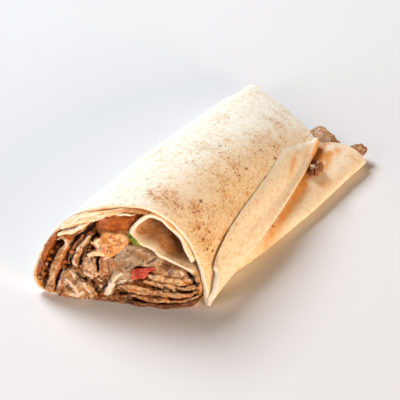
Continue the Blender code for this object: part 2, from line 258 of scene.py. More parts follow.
# The sheet's way through the roll, inner end first. Each row: x at the cut, x at the folded end, pace;
# the same for z; y where the sheet stops.
ROLL = (
    (24.5, 10.0, "late", 19.5, 10.9, "late", 58.0),     # free inner end
    (21.3, 8.5, "late", 24.3, 11.0, "late", 58.0),
    (17.9, 7.0, "late", 29.5, 11.0, "late", 58.0),
    (13.4, 5.2, "late", 33.9, 11.0, "late", 58.0),
    (9.4, 3.4, "late", 36.9, 10.9, "late", 58.0),
    (5.0, 2.4, "late", 38.2, 10.7, "late", 58.0),       # crest of the pocket
    (1.3, 0.6, "late", 35.2, 10.4, "late", 58.0),
    (-1.0, -0.7, "late", 31.2, 9.6, "late", 58.0),
    (-1.0, -0.7, "late", 28.4, 8.3, "late", 58.0),      # tip of the pocket
    (2.2, 1.4, "late", 25.9, 7.6, "late", 58.0),
    (6.8, 4.8, "late", 24.0, 7.9, "late", 58.0),
    (12.2, 10.0, "late", 20.4, 8.7, "early", 60.0),     # floor of the pocket
    (18.0, 16.0, "late", 18.1, 9.6, "early", 63.0),
    (24.4, 23.5, "late", 15.6, 10.2, "early", 68.5),    # top of the lobe
    (27.5, 30.0, "late", 12.2, 8.8, "early", 71.0),
    (28.7, 34.2, "held", 8.4, 6.7, "early", 71.5),
    (29.0, 36.4, "held", 4.4, 4.2, "early", 71.5),      # nose of the lobe
    (27.4, 34.6, "held", 1.3, 1.5, "late", 73.0),
    (22.0, 29.0, "held", 0.9, 0.9, "late", 74.5),
    (8.0, 10.0, "late", 0.9, 0.9, "late", 77.0),        # floor
    (-12.0, -12.0, "late", 0.9, 0.9, "late", 80.0),
    (-27.0, -30.0, "late", 0.9, 0.9, "late", 83.0),
    (-32.6, -35.0, "late", 2.6, 1.8, "late", 84.0),
    (-35.2, -36.6, "late", 8.3, 4.2, "late", 84.5),     # left side
    (-34.9, -36.4, "late", 14.0, 7.2, "late", 84.7),
    (-33.0, -34.8, "late", 22.0, 9.2, "late", 84.6),
    (-29.0, -31.5, "late", 30.0, 10.3, "late", 84.2),
    (-21.5, -22.5, "late", 37.4, 11.4, "late", 80.6),   # left shoulder
    (-9.0, -10.5, "late", 41.2, 12.3, "late", 76.0),    # crown
    (3.9, -0.5, "late", 41.3, 12.8, "late", 71.0),
    (13.2, 6.0, "late", 37.0, 13.2, "late", 67.5),      # right shoulder
    (20.2, 10.0, "late", 30.1, 13.3, "late", 65.0),
    (25.2, 13.0, "late", 23.2, 13.3, "late", 63.0),
    (28.8, 15.0, "late", 16.0, 13.3, "late", 62.0),     # flank
    (31.0, 16.2, "late", 9.9, 13.5, "quick", 61.3),
    (32.2, 17.4, "late", 4.0, 13.2, "early", 61.0),     # just before the fold
)
SPAN_STEP = 1.15            # length of a step along the sheet
FOLD_STEPS = 14
STRIP_STEPS = 20

FILL_END_Y = 68.0
FILL_END_SLANT = -0.45
FLOOR_Z = 2.3
FILL_SINK = {"late": 0.72, "early": 0.68}


def cut_y(x, z):
    """Y of the cut plane at a place in the section."""
    return CUT_Y + CUT_SLANT * x + CUT_LEAN * z


def settle(points):
    """Softens the whole wrap: a slow noise moves every point, so layers that lie together stay together.
    The lowest points keep their height, as they lie on the ground."""
    points = np.asarray(points, float)
    moved = points.copy()
    for axis, reach in ((0, 0.45), (1, 0.5), (2, 0.5)):
        shift = reach * noise(points, (24.0, 40.0, 18.0), 11 + axis)
        shift += 0.28 * reach * noise(points, (9.0, 15.0, 8.0), 17 + axis)
        if axis == 2:
            shift *= smooth_step(points[..., 2], 1.5, 10.0)
        moved[..., axis] += shift
    return moved


def graded_ways(length, fine, coarse, growth):
    """Ways from 0 to 1 whose steps grow from fine to coarse away from both ends."""
    steps = [0.0]
    step = fine
    while steps[-1] < length / 2:
        steps.append(steps[-1] + step)
        step = min(step * growth, coarse)
    half = np.array(steps) / steps[-1] / 2
    return np.concatenate([half, 1.0 - half[-2::-1]])


def roll_surface(ways):
    """Middle surface of the sheet: at each way every row of ROLL is blended from the cut to the folded
    end, a centripetal Catmull-Rom curve runs through the rows, a half ellipse turns back at the fold, and
    the strip is the sheet's own end moved off by its gap. Gives x, z, y for each way and place on the
    sheet, and the number of the row each place lies at (the fold and strip count on from the last). The
    strip bulges off the sheet near the cut, where its free corner stands back."""
    rows = []
    for x_cut, x_end, x_pace, z_cut, z_end, z_pace, y_end in ROLL:
        start = cut_y(x_cut, z_cut)
        rows.append(np.stack([x_cut + (x_end - x_cut) * PACES[x_pace](ways),
                              z_cut + (z_end - z_cut) * PACES[z_pace](ways),
                              start + (y_end - start) * ways], -1))
    rows = np.stack(rows, 1)
    padded = np.concatenate([2 * rows[:, :1] - rows[:, 1:2], rows, 2 * rows[:, -1:] - rows[:, -2:-1]], 1)
    knots = np.cumsum(np.sqrt(np.linalg.norm(np.diff(padded, axis=1), axis=2)), axis=1)
    knots = np.concatenate([np.zeros((len(ways), 1)), knots], 1)
    spans = np.linalg.norm(np.diff(rows[:, :, :2], axis=1), axis=2).max(0)
    out, places = [], []
    for k, length in enumerate(spans):
        count = max(2, int(round(length / SPAN_STEP)))
        share = np.arange(count) / count
        p = padded[:, k:k + 4, None, :]
        t = knots[:, k:k + 4, None, None]
        s = t[:, 1] + (t[:, 2] - t[:, 1]) * share[None, :, None]
        a1 = ((t[:, 1] - s) * p[:, 0] + (s - t[:, 0]) * p[:, 1]) / (t[:, 1] - t[:, 0])
        a2 = ((t[:, 2] - s) * p[:, 1] + (s - t[:, 1]) * p[:, 2]) / (t[:, 2] - t[:, 1])
        a3 = ((t[:, 3] - s) * p[:, 2] + (s - t[:, 2]) * p[:, 3]) / (t[:, 3] - t[:, 2])
        b1 = ((t[:, 2] - s) * a1 + (s - t[:, 0]) * a2) / (t[:, 2] - t[:, 0])
        b2 = ((t[:, 3] - s) * a2 + (s - t[:, 1]) * a3) / (t[:, 3] - t[:, 1])
        out.append(((t[:, 2] - s) * b1 + (s - t[:, 1]) * b2) / (t[:, 2] - t[:, 1]))
        places.append(k + share)
    sheet = np.concatenate(out + [rows[:, -1:]], 1)
    place = np.concatenate(places + [[len(ROLL) - 1.0]])
    sheet[..., 1] = np.maximum(sheet[..., 1], BREAD / 2)

    near = np.exp(-(ways / STRIP_GAPE_REACH) ** 2)
    gape = 0.4 * near + 0.6 * np.exp(-(ways / STRIP_LIP_REACH) ** 2)
    closed = BREAD * (1.0 - STRIP_PRESSED * smooth_step(ways, 0.3, 0.85)) + STRIP_GAP
    reach = (closed + 0.3 * gape)[:, None, None]
    side = across(sheet[..., :2])
    end_side = side[:, -1:, :]
    ahead = np.stack([end_side[..., 1], -end_side[..., 0]], -1)
    centre = sheet[:, -1:, :2] + end_side * reach / 2
    turn = (np.pi * np.arange(1, FOLD_STEPS + 1) / FOLD_STEPS)[None, :, None]
    point = 1.0 + FOLD_POINT * near[:, None, None] * np.sin(turn) ** 2
    fold = centre - np.cos(turn) * end_side * reach / 2 + np.sin(turn) * ahead * reach / 2 * point
    fold = np.concatenate([fold, np.repeat(sheet[:, -1:, 2:], FOLD_STEPS, 1)], -1)

    taper = np.clip((ways - STRIP_TAPER_START) / (1.0 - STRIP_TAPER_START), 0.0, 1.0)
    width = STRIP_WIDTH - STRIP_NARROWER_AT_CUT * near
    width = width + (STRIP_TIP_WIDTH - width) * taper
    width = width + 0.5 * noise(np.stack([ways * 155.0, 0 * ways, 0 * ways], -1), 9.0, 5)
    run = np.cumsum(np.linalg.norm(np.diff(sheet[:, ::-1, :2], axis=1), axis=2), axis=1)
    run = np.concatenate([np.zeros((len(ways), 1)), run], 1)
    share = np.arange(1, STRIP_STEPS + 1) / STRIP_STEPS
    under = np.concatenate([sheet, side], -1)[:, ::-1]
    strip = np.stack([[np.interp(width[k] * share, run[k], under[k, :, a]) for a in range(5)]
                      for k in range(len(ways))]).transpose(0, 2, 1)
    bulge = STRIP_GAP_AT_CUT * np.sin(0.88 * np.pi * share) ** 0.8 + 0.3 * (1.0 - share)
    at, slit_reach, slit_gap = STRIP_SLIT
    slit = slit_gap * np.exp(-((ways - at) / slit_reach) ** 2)
    lifted = closed[:, None] + gape[:, None] * bulge + slit[:, None] * share ** 5
    strip[..., :2] += strip[..., 3:] * lifted[..., None]
    strip[..., 2] += STRIP_CORNER_BACK * share ** 1.3 * np.exp(-ways / 0.07)[:, None]
    strip = strip[..., :3]
    whole = np.concatenate([sheet, fold, strip], 1)
    place = np.concatenate([place, len(ROLL) - 1 + np.arange(1, FOLD_STEPS + 1) / FOLD_STEPS,
                            len(ROLL) + np.arange(1, STRIP_STEPS + 1) / STRIP_STEPS])
    return whole, place


def ring_of_sheet(middle, normals, half, lip):
    """Rings round a sheet, one for each place along it: down one face to the cut, over the lip in a half
    round, back up the other face, and over the far lip. middle is (places, ways, 3), and half its half
    thickness; lip is how far the rounded edges stand out along the ways."""
    turn = np.pi * (np.arange(LIP_STEPS) + 0.5) / LIP_STEPS
    away = middle[:, :1] - middle[:, 1:2]
    away = away / np.linalg.norm(away, axis=-1, keepdims=True)
    far = middle[:, -1:] - middle[:, -2:-1]
    far = far / np.linalg.norm(far, axis=-1, keepdims=True)
    upper = middle + normals * half[..., None]
    lower = middle - normals * half[..., None]
    arc, rise = np.cos(turn)[None, :, None], np.sin(turn)[None, :, None]
    near_lip = middle[:, :1] + normals[:, :1] * half[:, :1, None] * arc + away * lip * rise
    far_lip = middle[:, -1:] - normals[:, -1:] * half[:, -1:, None] * arc + far * lip * rise
    split = LIP_STEPS // 2
    return np.concatenate([far_lip[:, split:], upper[:, ::-1], near_lip, lower, far_lip[:, :split]], 1)


LIP_STEPS = 6


def ring_values(values, near, far):
    """The same order of points as ring_of_sheet, for values of the upper and lower face and the lips."""
    upper, lower = values
    lips = np.ones((upper.shape[0], LIP_STEPS))
    split = LIP_STEPS // 2
    return np.concatenate([lips[:, split:] * far, upper[:, ::-1], lips * near, lower, lips[:, :split] * far], 1)


def make_bread(look):
    """The flatbread: roll_surface with rounded edges, a ragged cut, slow dents and fine blisters."""
    ways = graded_ways(150.0, 0.25, 1.2, 1.16)
    surface, place = roll_surface(ways)
    middle = surface[..., [0, 2, 1]].transpose(1, 0, 2)          # places, ways, xyz
    flat = across(surface[..., :2]).transpose(1, 0, 2)
    normals = np.stack([flat[..., 0], np.zeros(flat.shape[:2]), flat[..., 1]], -1)

    from_cut = np.linalg.norm(np.diff(middle, axis=1), axis=2)
    from_cut = np.concatenate([np.zeros((len(place), 1)), np.cumsum(from_cut, axis=1)], 1)
    from_far = from_cut[:, -1:] - from_cut
    along = np.linalg.norm(np.diff(middle[:, 0], axis=0), axis=1)
    along = np.concatenate([[0.0], np.cumsum(along)])
    from_inner, from_free = along, along[-1] - along

    # ragged edges: the cut line and the far edge wander, the inner end is torn
    line = np.stack([along, 0 * along, 0 * along], -1)
    ragged = 0.34 * noise(line, 3.2, 3) + 0.22 * noise(line, 1.1, 4)
    middle[..., 1] += ragged[:, None] * np.exp(-from_cut / 2.5)
    middle[..., 1] += (0.5 * noise(line, 6.0, 8) - 0.4)[:, None] * np.exp(-from_far / 4.0)
    torn = 0.8 * layered_noise(np.stack([middle[0, :, 1], 0 * ways, 0 * ways], -1), 3.5, 21)
    ahead = middle[1] - middle[0]
    ahead /= np.linalg.norm(ahead, axis=-1, keepdims=True)
    middle += ahead[None] * torn[None, :, None] * np.exp(-from_inner / 2.0)[:, None, None]

    edge = np.minimum(from_inner, from_free)
    half = BREAD / 2 * np.sqrt(1.0 - (1.0 - np.clip((edge + 0.06) / 0.9, 0.0, 1.0)) ** 2)[:, None]
    half = half * np.ones_like(from_cut)
    half *= (1.0 - 0.3 * np.exp(-from_inner / 1.2) + 0.22 * np.exp(-from_inner / 14.0))[:, None]
    half *= 1.0 + 0.10 * noise(middle, 5.0, 31) + 0.16 * noise(middle, 1.6, 33) * np.exp(-from_cut / 2.0)
    swollen = 0.5 * np.exp(-((place[:, None] - 34.9) / 2.0) ** 2) * np.exp(-from_cut / 5.0)
    middle = middle + normals * (BREAD / 2 * swollen * smooth_step(place, 35.6, 34.6)[:, None])[..., None]
    half *= 1.0 + swollen
    half *= 1.0 - STRIP_PRESSED * smooth_step(place, 33.0, 35.0)[:, None] * smooth_step(ways, 0.3, 0.85)[None]
    pressed = 0.88 * half * np.exp(-from_free / 2.6)[:, None] * smooth_step(ways, 0.02, 0.10)
    sunk = 0.16 * np.exp(-from_free / 1.2)[:, None] * smooth_step(ways, 0.18, 0.26)
    middle, half = middle + normals * (pressed + sunk)[..., None], half - pressed
    middle = settle(middle)
    rings = ring_of_sheet(middle, normals, half, 0.42)
    fine = 0.07 * layered_noise(rings, 1.9, 41) + 0.10 * noise(rings, 5.5, 45)
    blister = smooth_step(noise(rings, (3.4, 3.4, 3.4), 47), 0.45, 0.9)
    face = np.abs(ring_values((np.ones_like(half), -np.ones_like(half)), 0.0, 0.0))
    grid = outward_normals(rings)
    calm = 1.0 - 0.85 * np.exp(-from_free / 4.0)[:, None]
    rings = rings + grid * ((fine + 0.16 * blister) * face * calm * smooth_step(rings[..., 2], 0.0, 1.5))[..., None]
    rings[..., 2] = np.maximum(rings[..., 2], 0.0)

    column = place[:, None]
    outer = np.ones_like(half)
    # upper is the outside of the roll from the floor on, and lower its inside
    x, y = rings[..., 0], rings[..., 1]
    number = column * np.ones((1, rings.shape[1]))
    is_upper = ring_values((outer, 0 * outer), np.linspace(1.0, 0.0, LIP_STEPS), 0.5)
    inside = 1.0 - is_upper
    on_strip = smooth_step(number, 35.3, 35.7)
    shown = np.where(on_strip > 0.5, inside, is_upper)
    depth = ring_values((from_cut, from_cut), 0.0, 99.0)
    near_cut = np.exp(-depth / 1.6)
    on_lobe = (number > 10) & (number < 17) & (is_upper > 0.4)

    stain = np.zeros(x.shape)
    crevice_x = 18.7 + 0.27 * (63.6 - y) - 0.00085 * (63.6 - y) ** 2
    in_crevice = np.exp(-(np.maximum(x - crevice_x - 0.6, -9.0) / np.where(x > crevice_x + 0.6, 2.2, 1.4)) ** 2)
    stain += in_crevice * on_lobe * smooth_step(y, -20.0, 10.0) * (1.1 + 0.5 * noise(rings, 3.0, 55))
    for at_x, at_y, wide, long, strength in OILY:
        patch = np.exp(-((x - at_x) / wide) ** 2 - ((y - at_y) / long) ** 2)
        stain += strength * patch * on_lobe * smooth_step(layered_noise(rings, 2.2, 57), -0.75, 0.45)
    # painted shade: a thin brown line down the crease of the crevice, and darker brown round the seared bits in it
    brown = 0.06 * np.exp(-((x - crevice_x - 0.2) / 0.9) ** 2) * on_lobe * smooth_step(y, 0.0, 30.0)
    brown += 0.75 * np.exp(-((x - 26.6) / 2.2) ** 2 - ((y - 43.4) / 4.2) ** 2) * on_lobe
    smear = np.exp(-((x - 21.3 - 0.38 * (33.5 - y)) / 0.9) ** 2 - ((y - 34.0) / 6.5) ** 2)
    stain += 0.8 * smear * on_strip * inside
    slit = near_line(rings, ((27.5, -27.4, 23.4), (29.5, -37.0, 20.6), (30.6, -42.0, 18.2)))
    stain += 0.75 * np.exp(-(slit / 1.5) ** 2) * (number > 28) * (1.0 - on_strip) * (0.8 + 0.6 * noise(rings, 2.0, 58))
    fold_edge = np.exp(-((number - 35.5) / 0.5) ** 2) * smooth_step(y, 10.0, 50.0)
    stain += 0.6 * fold_edge * (0.8 + 0.8 * noise(rings, 5.0, 59))
    stain += 0.9 * np.exp(-((number - 35.5) / 0.8) ** 2) * smooth_step(y, 38.0, 56.0)
    rolled = (number > 17) & (number < 34)
    lower_rim = smooth_step(inside, 0.3, 0.75)
    stain += ((1.0 - 0.6 * smooth_step(number, 29.0, 31.0)) * near_cut * lower_rim * rolled
              * (0.75 + 0.8 * noise(rings, 3.0, 49)))
    # brown on the inner face of the floor and left side, near the cut and deeper in: partly sauce, partly painted shade
    brown += 0.5 * near_cut * lower_rim * ((number > 20) & (number < 29)) * (0.6 + 0.9 * noise(rings, 2.2, 48))
    stain += 0.6 * inside * ((number > 20) & (number < 29))
    brown += 0.7 * inside * ((number > 20) & (number < 29)) * (0.5 + 0.5 * noise(rings, 5.0, 51))
    # painted shade in the pocket: browner the deeper into it, less on its pale floor and right wall
    pale_floor = smooth_step(number, 6.5, 9.0)
    brown += (is_upper * smooth_step(number, 14.2, 11.0) * (0.12 + 0.88 * smooth_step(number, 3.0, 7.0))
              * smooth_step(depth, 0.3 + 0.5 * pale_floor, 3.0 + 2.4 * pale_floor))
    end_rim = near_cut * ((number > 13.2) & (number < 18.0))
    brown += 0.75 * end_rim * (0.8 + 0.6 * noise(rings, 1.8, 54))
    stain += 0.5 * end_rim
    stain += 0.7 * inside * (number < 12) * smooth_step(rings[..., 2], 25.0, 35.0)

    rim = 0.72 + 0.55 * noise(rings, 2.6, 53)
    crumb = ring_values((0 * outer, 0 * outer), 1.0, 0.2) * np.where((number < 20) | (number > 33), 0.95, rim)
    crumb *= 1.0 - lower_rim * ((number > 19) & (number < 30)) * (0.9 + 0.4 * noise(rings, 3.4, 50))
    crumb *= 1.0 - 0.85 * end_rim
    # pale paint as painted light: in the gape under the strip's near corner, and on the pocket's right wall
    crumb += 0.7 * on_strip * is_upper * np.exp(-depth / 9.0)
    crumb += 0.5 * is_upper * smooth_step(number, 8.0, 5.0)
    crumb += 0.8 * np.exp(-from_inner / 1.3)[:, None] * near_cut
    crumb += on_lobe * smooth_step(y, 0.0, 40.0) * smooth_step(layered_noise(rings, 5.0, 52), 0.0, 0.5) * 0.7

    # tan: painted shade, more tan towards +x where the roll's right side faces away from the key, with two broader tan
    # patches; lightened as painted light on the strip and the lobe, and paler on the far part of the top
    tan = 0.66 * smooth_step(x, -6.0, 30.0) * (1.0 - 0.85 * on_strip)
    tan += 0.25 * np.exp(-((x - 16.0) / 10.0) ** 2 - ((y + 8.0) / 16.0) ** 2)
    tan += 0.35 * np.exp(-((x - 27.0) / 7.0) ** 2 - ((y + 40.0) / 10.0) ** 2)
    tan -= 0.45 * smooth_step(y, 15.0, 70.0) * (number > 25)
    tan -= 0.50 * on_lobe * smooth_step(y, -30.0, 10.0)
    tan += 0.28 * layered_noise(rings, (11.0, 17.0, 11.0), 61)

    toast = 0.24 + 0.18 * noise(rings, (14.0, 22.0, 14.0), 65) + 0.20 * smooth_step(x, -14.0, 10.0)
    for at_x, at_y, wide, long, strength in TOASTED:
        toast += strength * np.exp(-((x - at_x) / wide) ** 2 - ((y - at_y) / long) ** 2)
    toast *= shown * (0.75 + 0.5 * noise(rings, 6.0, 67)) * smooth_step(number, 16.5, 18.5) * (1.0 - 0.85 * on_strip)
    paint = {"stain": stain, "brown": brown, "crumb": crumb, "tan": tan, "toast": toast}
    faces = loft_faces(*rings.shape[:2])
    add_piece("flatbread_sheet", rings.reshape(-1, 3), faces, look, ("flatbread",), paint)


# Orange oil soaked into the lobe: x and y of the middle, reach along x and y, strength
OILY = (
    (22.4, 55.0, 2.8, 9.0, 1.6), (26.2, 58.0, 2.2, 9.0, 1.4), (27.8, 50.0, 2.0, 4.0, 0.9),
    (33.4, 44.0, 2.4, 9.0, 0.55), (30.5, 30.0, 3.0, 9.0, 0.5), (29.5, 4.0, 3.0, 14.0, 0.35),
)
# Toasted patches on the sheet: x and y of the middle, reach along x and y, strength
TOASTED = (
    (6.0, -42.0, 8.0, 4.5, 1.35), (-1.0, -47.5, 5.0, 3.5, 0.45), (17.5, -36.0, 4.5, 7.0, 0.45),
    (24.5, -38.0, 5.0, 8.0, 0.45), (14.5, -6.0, 4.5, 12.0, 0.55), (-2.5, 0.0, 5.5, 12.0, 0.45),
    (-15.0, 29.0, 6.0, 9.0, 0.40), (-0.7, 51.0, 7.0, 7.0, 0.55), (10.0, 24.0, 6.0, 9.0, 0.20),
    (-24.0, -12.0, 8.0, 14.0, 0.40), (21.0, -16.0, 5.0, 10.0, 0.25), (-30.0, 45.0, 8.0, 16.0, 0.30),
    (3.0, -28.0, 8.0, 8.0, -0.35),
)
# Single scorched spots: place on the sheet and radius
SCORCHED = (
    ((15.0, -30.4, 36.3), 0.85), ((21.0, -40.3, 30.6), 0.70), ((15.4, 4.4, 32.3), 0.80),
    ((16.2, -1.9, 32.7), 0.55), ((15.9, -18.8, 34.9), 0.50), ((1.1, 5.0, 38.3), 0.65),
    ((17.2, -34.9, 34.6), 0.60), ((16.5, -37.8, 35.2), 0.55), ((24.0, -41.5, 26.6), 0.60),
    ((26.5, -41.9, 22.5), 0.65), ((27.5, -39.4, 20.4), 0.60), ((12.2, 21.1, 30.8), 0.50),
    ((-13.2, 24.8, 32.9), 0.60), ((16.9, 25.9, 25.6), 0.90), ((31.6, 2.1, 8.7), 0.80),
    ((24.7, 57.6, 10.9), 0.95), ((-28.0, -20.0, 27.0), 0.70), ((-20.0, 52.0, 18.0), 0.60),
)


# ---------------------------------------------------------------- fillings
OUT = np.array([0.452, -0.6455, 0.616])      # the way the fillings bulge: out of the cut and up


def fill_place(u, v, way, pace, out, thin=1.0, centre=(0.0, 0.0)):
    """Place of a filling's point: u and v on the cut, way along the roll, out its bulge. Its line runs from
    the cut towards the folded end, sinks with the roll, thins about a centre, and loses its bulge."""
    u = np.asarray(u, float) * np.ones_like(way)
    v = np.asarray(v, float) * np.ones_like(way)
    size = 1.0 - (1.0 - thin) * way
    su, sv = centre[0] + (u - centre[0]) * size, centre[1] + (v - centre[1]) * size
    start = cut_y(su, sv)
    y = start + (FILL_END_Y + FILL_END_SLANT * su - start) * way
    z = FLOOR_Z + (sv - FLOOR_Z) * (1.0 - FILL_SINK[pace] * PACES[pace](way))
    fade = np.exp(-way / 0.05)
    place = np.stack([su, y, z], -1) + OUT * (out * fade)[..., None]
    return above_ground(place)


def above_ground(place):
    """Lifts what is below the bread's floor, or below the ground in front of it."""
    behind = smooth_step(place[..., 1] - cut_y(place[..., 0], 0.0), -0.5, 1.5)
    lowest = 0.25 + (BREAD + 0.15 - 0.25) * behind
    place[..., 2] = np.where(place[..., 2] < lowest, lowest + 0.05 * np.tanh(place[..., 2] - lowest), place[..., 2])
    return place


def depth_ways(count, last=0.89, first=0.0015):
    """Ways into the roll, close together at the cut and further apart behind it."""
    return first * (np.exp(np.linspace(0.0, np.log(last / first + 1.0), count)) - 1.0)


def slice_rings(line, pace, out, rough, seed, places=130, depth=22, face=14):
    """A slice of meat: rings along its line of (u, v, thickness) on the cut. Each ring runs up one side,
    over the rough face with a rounded edge, and back down the other side. Gives the rings, and streaks that
    follow the line."""
    spine = curve_through(line, places)
    normal = across(spine[:, :2])
    run = np.concatenate([[0.0], np.cumsum(np.linalg.norm(np.diff(spine[:, :2], axis=0), axis=1))])
    along = np.stack([run, 0 * run, 0 * run], -1)
    end = np.minimum(run, run[-1] - run)
    blunt = np.clip((end + 0.05) / np.maximum(spine[:, 2] * 0.6, 0.5), 0.0, 1.0)
    half = spine[:, 2] / 2 * np.sqrt(1.0 - (1.0 - blunt) ** 2)
    half = np.maximum(half * (1.0 + 0.38 * noise(along, 3.1, seed + 1) + 0.2 * noise(along, 1.1, seed + 2)), 0.05)
    spine[:, :2] += 0.45 * np.stack([noise(along, 2.4, seed + 5), noise(along, 2.4, seed + 6)], -1)
    ways = depth_ways(depth)
    q = np.cos(np.pi * (np.arange(face) + 0.5) / face)
    side = np.concatenate([np.ones(depth), q, -np.ones(depth)])
    way = np.concatenate([ways[::-1], np.zeros(face), ways])
    profile = np.concatenate([np.zeros(depth), np.sqrt(1.0 - q ** 2) ** 0.7, np.zeros(depth)])
    u = spine[:, None, 0] + normal[:, None, 0] * half[:, None] * side[None]
    v = spine[:, None, 1] + normal[:, None, 1] * half[:, None] * side[None]
    flat = np.stack([u, v, 0 * u], -1)
    stand = out + (2.2 * noise(along, 4.0, seed + 7) + 0.9 * noise(along, 1.1, seed + 8))[:, None] * rough
    stand = stand + profile[None] * np.minimum(half[:, None] * 0.8, 1.0)
    rings = fill_place(u, v, way[None] * np.ones_like(u), pace, stand, 0.9, tuple(spine[:, :2].mean(0)))
    fibre = layered_noise(flat + rings * (0.0, 0.25, 0.0), (1.5, 1.5, 1.5), seed)
    wave = 0.5 * rough * noise(rings, (5.0, 9.0, 5.0), seed + 3)
    thin_less = np.minimum(half[:, None] / 0.6, 1.0)
    moved = rings + outward_normals(rings) * ((rough * fibre + wave) * thin_less)[..., None]
    lengthwise = np.stack([run[:, None] / 4.5 * np.ones_like(u), half[:, None] * side / 0.45, rings[..., 1] / 5.0], -1)
    return above_ground(moved), layered_noise(lengthwise, 1.0, seed + 9, 2)


def lump_rings(outline, pace, out, dome, rough, grain, seed, last=0.89, around=150, cap=26, depth=18):
    """A lump that runs through the roll: rings grow over its domed, rough face from a small one to the
    outline, go back along its sides, and close at the far end. Gives the rings, and streaks that lie
    across it."""
    edge = curve_through(outline, around, closed=True)
    centre = edge.mean(0)
    grow = np.sin(np.linspace(0.02, 1.0, cap) * np.pi / 2)
    back = depth_ways(depth, last)[1:]
    shrink = np.linspace(1.0, 0.05, 6)[1:]
    size = np.concatenate([grow, np.ones(len(back)), shrink])
    way = np.concatenate([np.zeros(cap), back, np.full(len(shrink), last)])
    rise = np.concatenate([np.sqrt(np.maximum(1.0 - grow ** 2, 0.0)) ** 0.9, np.zeros(len(back) + len(shrink))])
    u = centre[0] + (edge[None, :, 0] - centre[0]) * size[:, None]
    v = centre[1] + (edge[None, :, 1] - centre[1]) * size[:, None]
    rings = fill_place(u, v, way[:, None] * np.ones_like(u), pace, out + dome * rise[:, None] * np.ones_like(u),
                       0.86, tuple(centre))
    push = rough * layered_noise(rings, grain, seed) + 0.6 * rough * noise(rings, grain * 2.6, seed + 5)
    moved = rings + outward_normals(rings) * (push * np.minimum(size * 4.0, 1.0)[:, None])[..., None]
    slanted = np.stack([(u + 0.5 * v) / 3.2, (v - 0.5 * u) / 0.9, rings[..., 1] / 4.0], -1)
    return above_ground(moved), layered_noise(slanted, 1.0, seed + 9, 2)


def face_share(rings):
    """1 on what shows at the cut, falling to 0 a little way behind it."""
    behind = rings[..., 1] - cut_y(rings[..., 0], rings[..., 2])
    return np.exp(-np.maximum(behind, 0.0) / 2.5)


def drawn_place(rings):
    """Place (u, v) on the cut at which a bulging point is drawn: it slides back along OUT to the plane."""
    slide = cut_y(rings[..., 0], rings[..., 2]) - rings[..., 1]
    slide = slide / (OUT[1] - CUT_SLANT * OUT[0] - CUT_LEAN * OUT[2])
    return np.stack([rings[..., 0] + slide * OUT[0], rings[..., 2] + slide * OUT[2]], -1)


def near_line(places, points):
    """Distance from every place to a broken line through the points, or to its one point."""
    points = np.asarray(points, float)
    nearest = np.full(places.shape[:-1], 99.0)
    for start, end in zip(points[:max(len(points) - 1, 1)], points[-max(len(points) - 1, 1):]):
        step = end - start
        share = np.clip((places - start) @ step / max(step @ step, 1e-9), 0.0, 1.0)
        nearest = np.minimum(nearest, np.linalg.norm(places - start - share[..., None] * step, axis=-1))
    return nearest


def add_marks(rings, seed):
    """Runs the MARKS over a filling: near a mark's line, which wanders a little, the face rises by its
    height and takes its kind's share. Gives the moved rings and the shares."""
    places = drawn_place(rings)
    places = places + np.stack([0.45 * layered_noise(rings, 1.7, seed + 1), 0.45 * layered_noise(rings, 1.7, seed + 2)], -1)
    showing = face_share(rings)
    shares = {kind: np.zeros(rings.shape[:2]) for kind in ("gap", "sear_and_shade", "sauce", "oil")}
    raised = np.zeros(rings.shape[:2])
    for kind, half_width, height, points in MARKS:
        strength = smooth_step(near_line(places, points), 1.5 * half_width, 0.45 * half_width) * showing
        shares[kind] = np.maximum(shares[kind], strength)
        raised += height * strength
    return above_ground(rings + OUT * np.clip(raised, -2.5, 0.8)[..., None]), shares


def place_filling(name, rings, streaks, look, nodes, seed, tone, sear_and_shade, sauce, oil, gap=0.0, far=False):
    """Adds a filling from its rings. Its own shares of searing, sauce and oil are blotched with noise and
    joined with those of the marks; tone, from dark to light, follows the streaks. What lies deep in the
    roll is painted dark as shade, but not what shows at the far end."""
    rings, marks = add_marks(rings, 60)
    blotch = layered_noise(rings, 2.3, seed)
    # back: painted shade that darkens what lies behind the cut, and takes the sauce off it
    back = 0.0 if far else 1.0 - face_share(rings)
    sauce_run = smooth_step(1.0 - np.abs(noise(rings, (2.6, 4.0, 3.6), seed + 4)) * 3.2, 0.1, 0.8)
    paint = {"tone": tone + 0.24 * streaks + 0.22 * blotch,
             "sear_and_shade": np.maximum(sear_and_shade * (0.8 + 0.8 * blotch) + 0.5 * back, marks["sear_and_shade"]),
             "sauce": np.maximum(sauce * (0.25 + 0.75 * sauce_run) * (1.0 - back), marks["sauce"]),
             "oil": np.maximum(oil * (0.7 + 0.9 * noise(rings, 2.1, seed + 6)), marks["oil"]),
             "gap": np.maximum(gap, marks["gap"])}
    add_piece(name, rings.reshape(-1, 3), loft_faces(*rings.shape[:2]), look, nodes, paint)
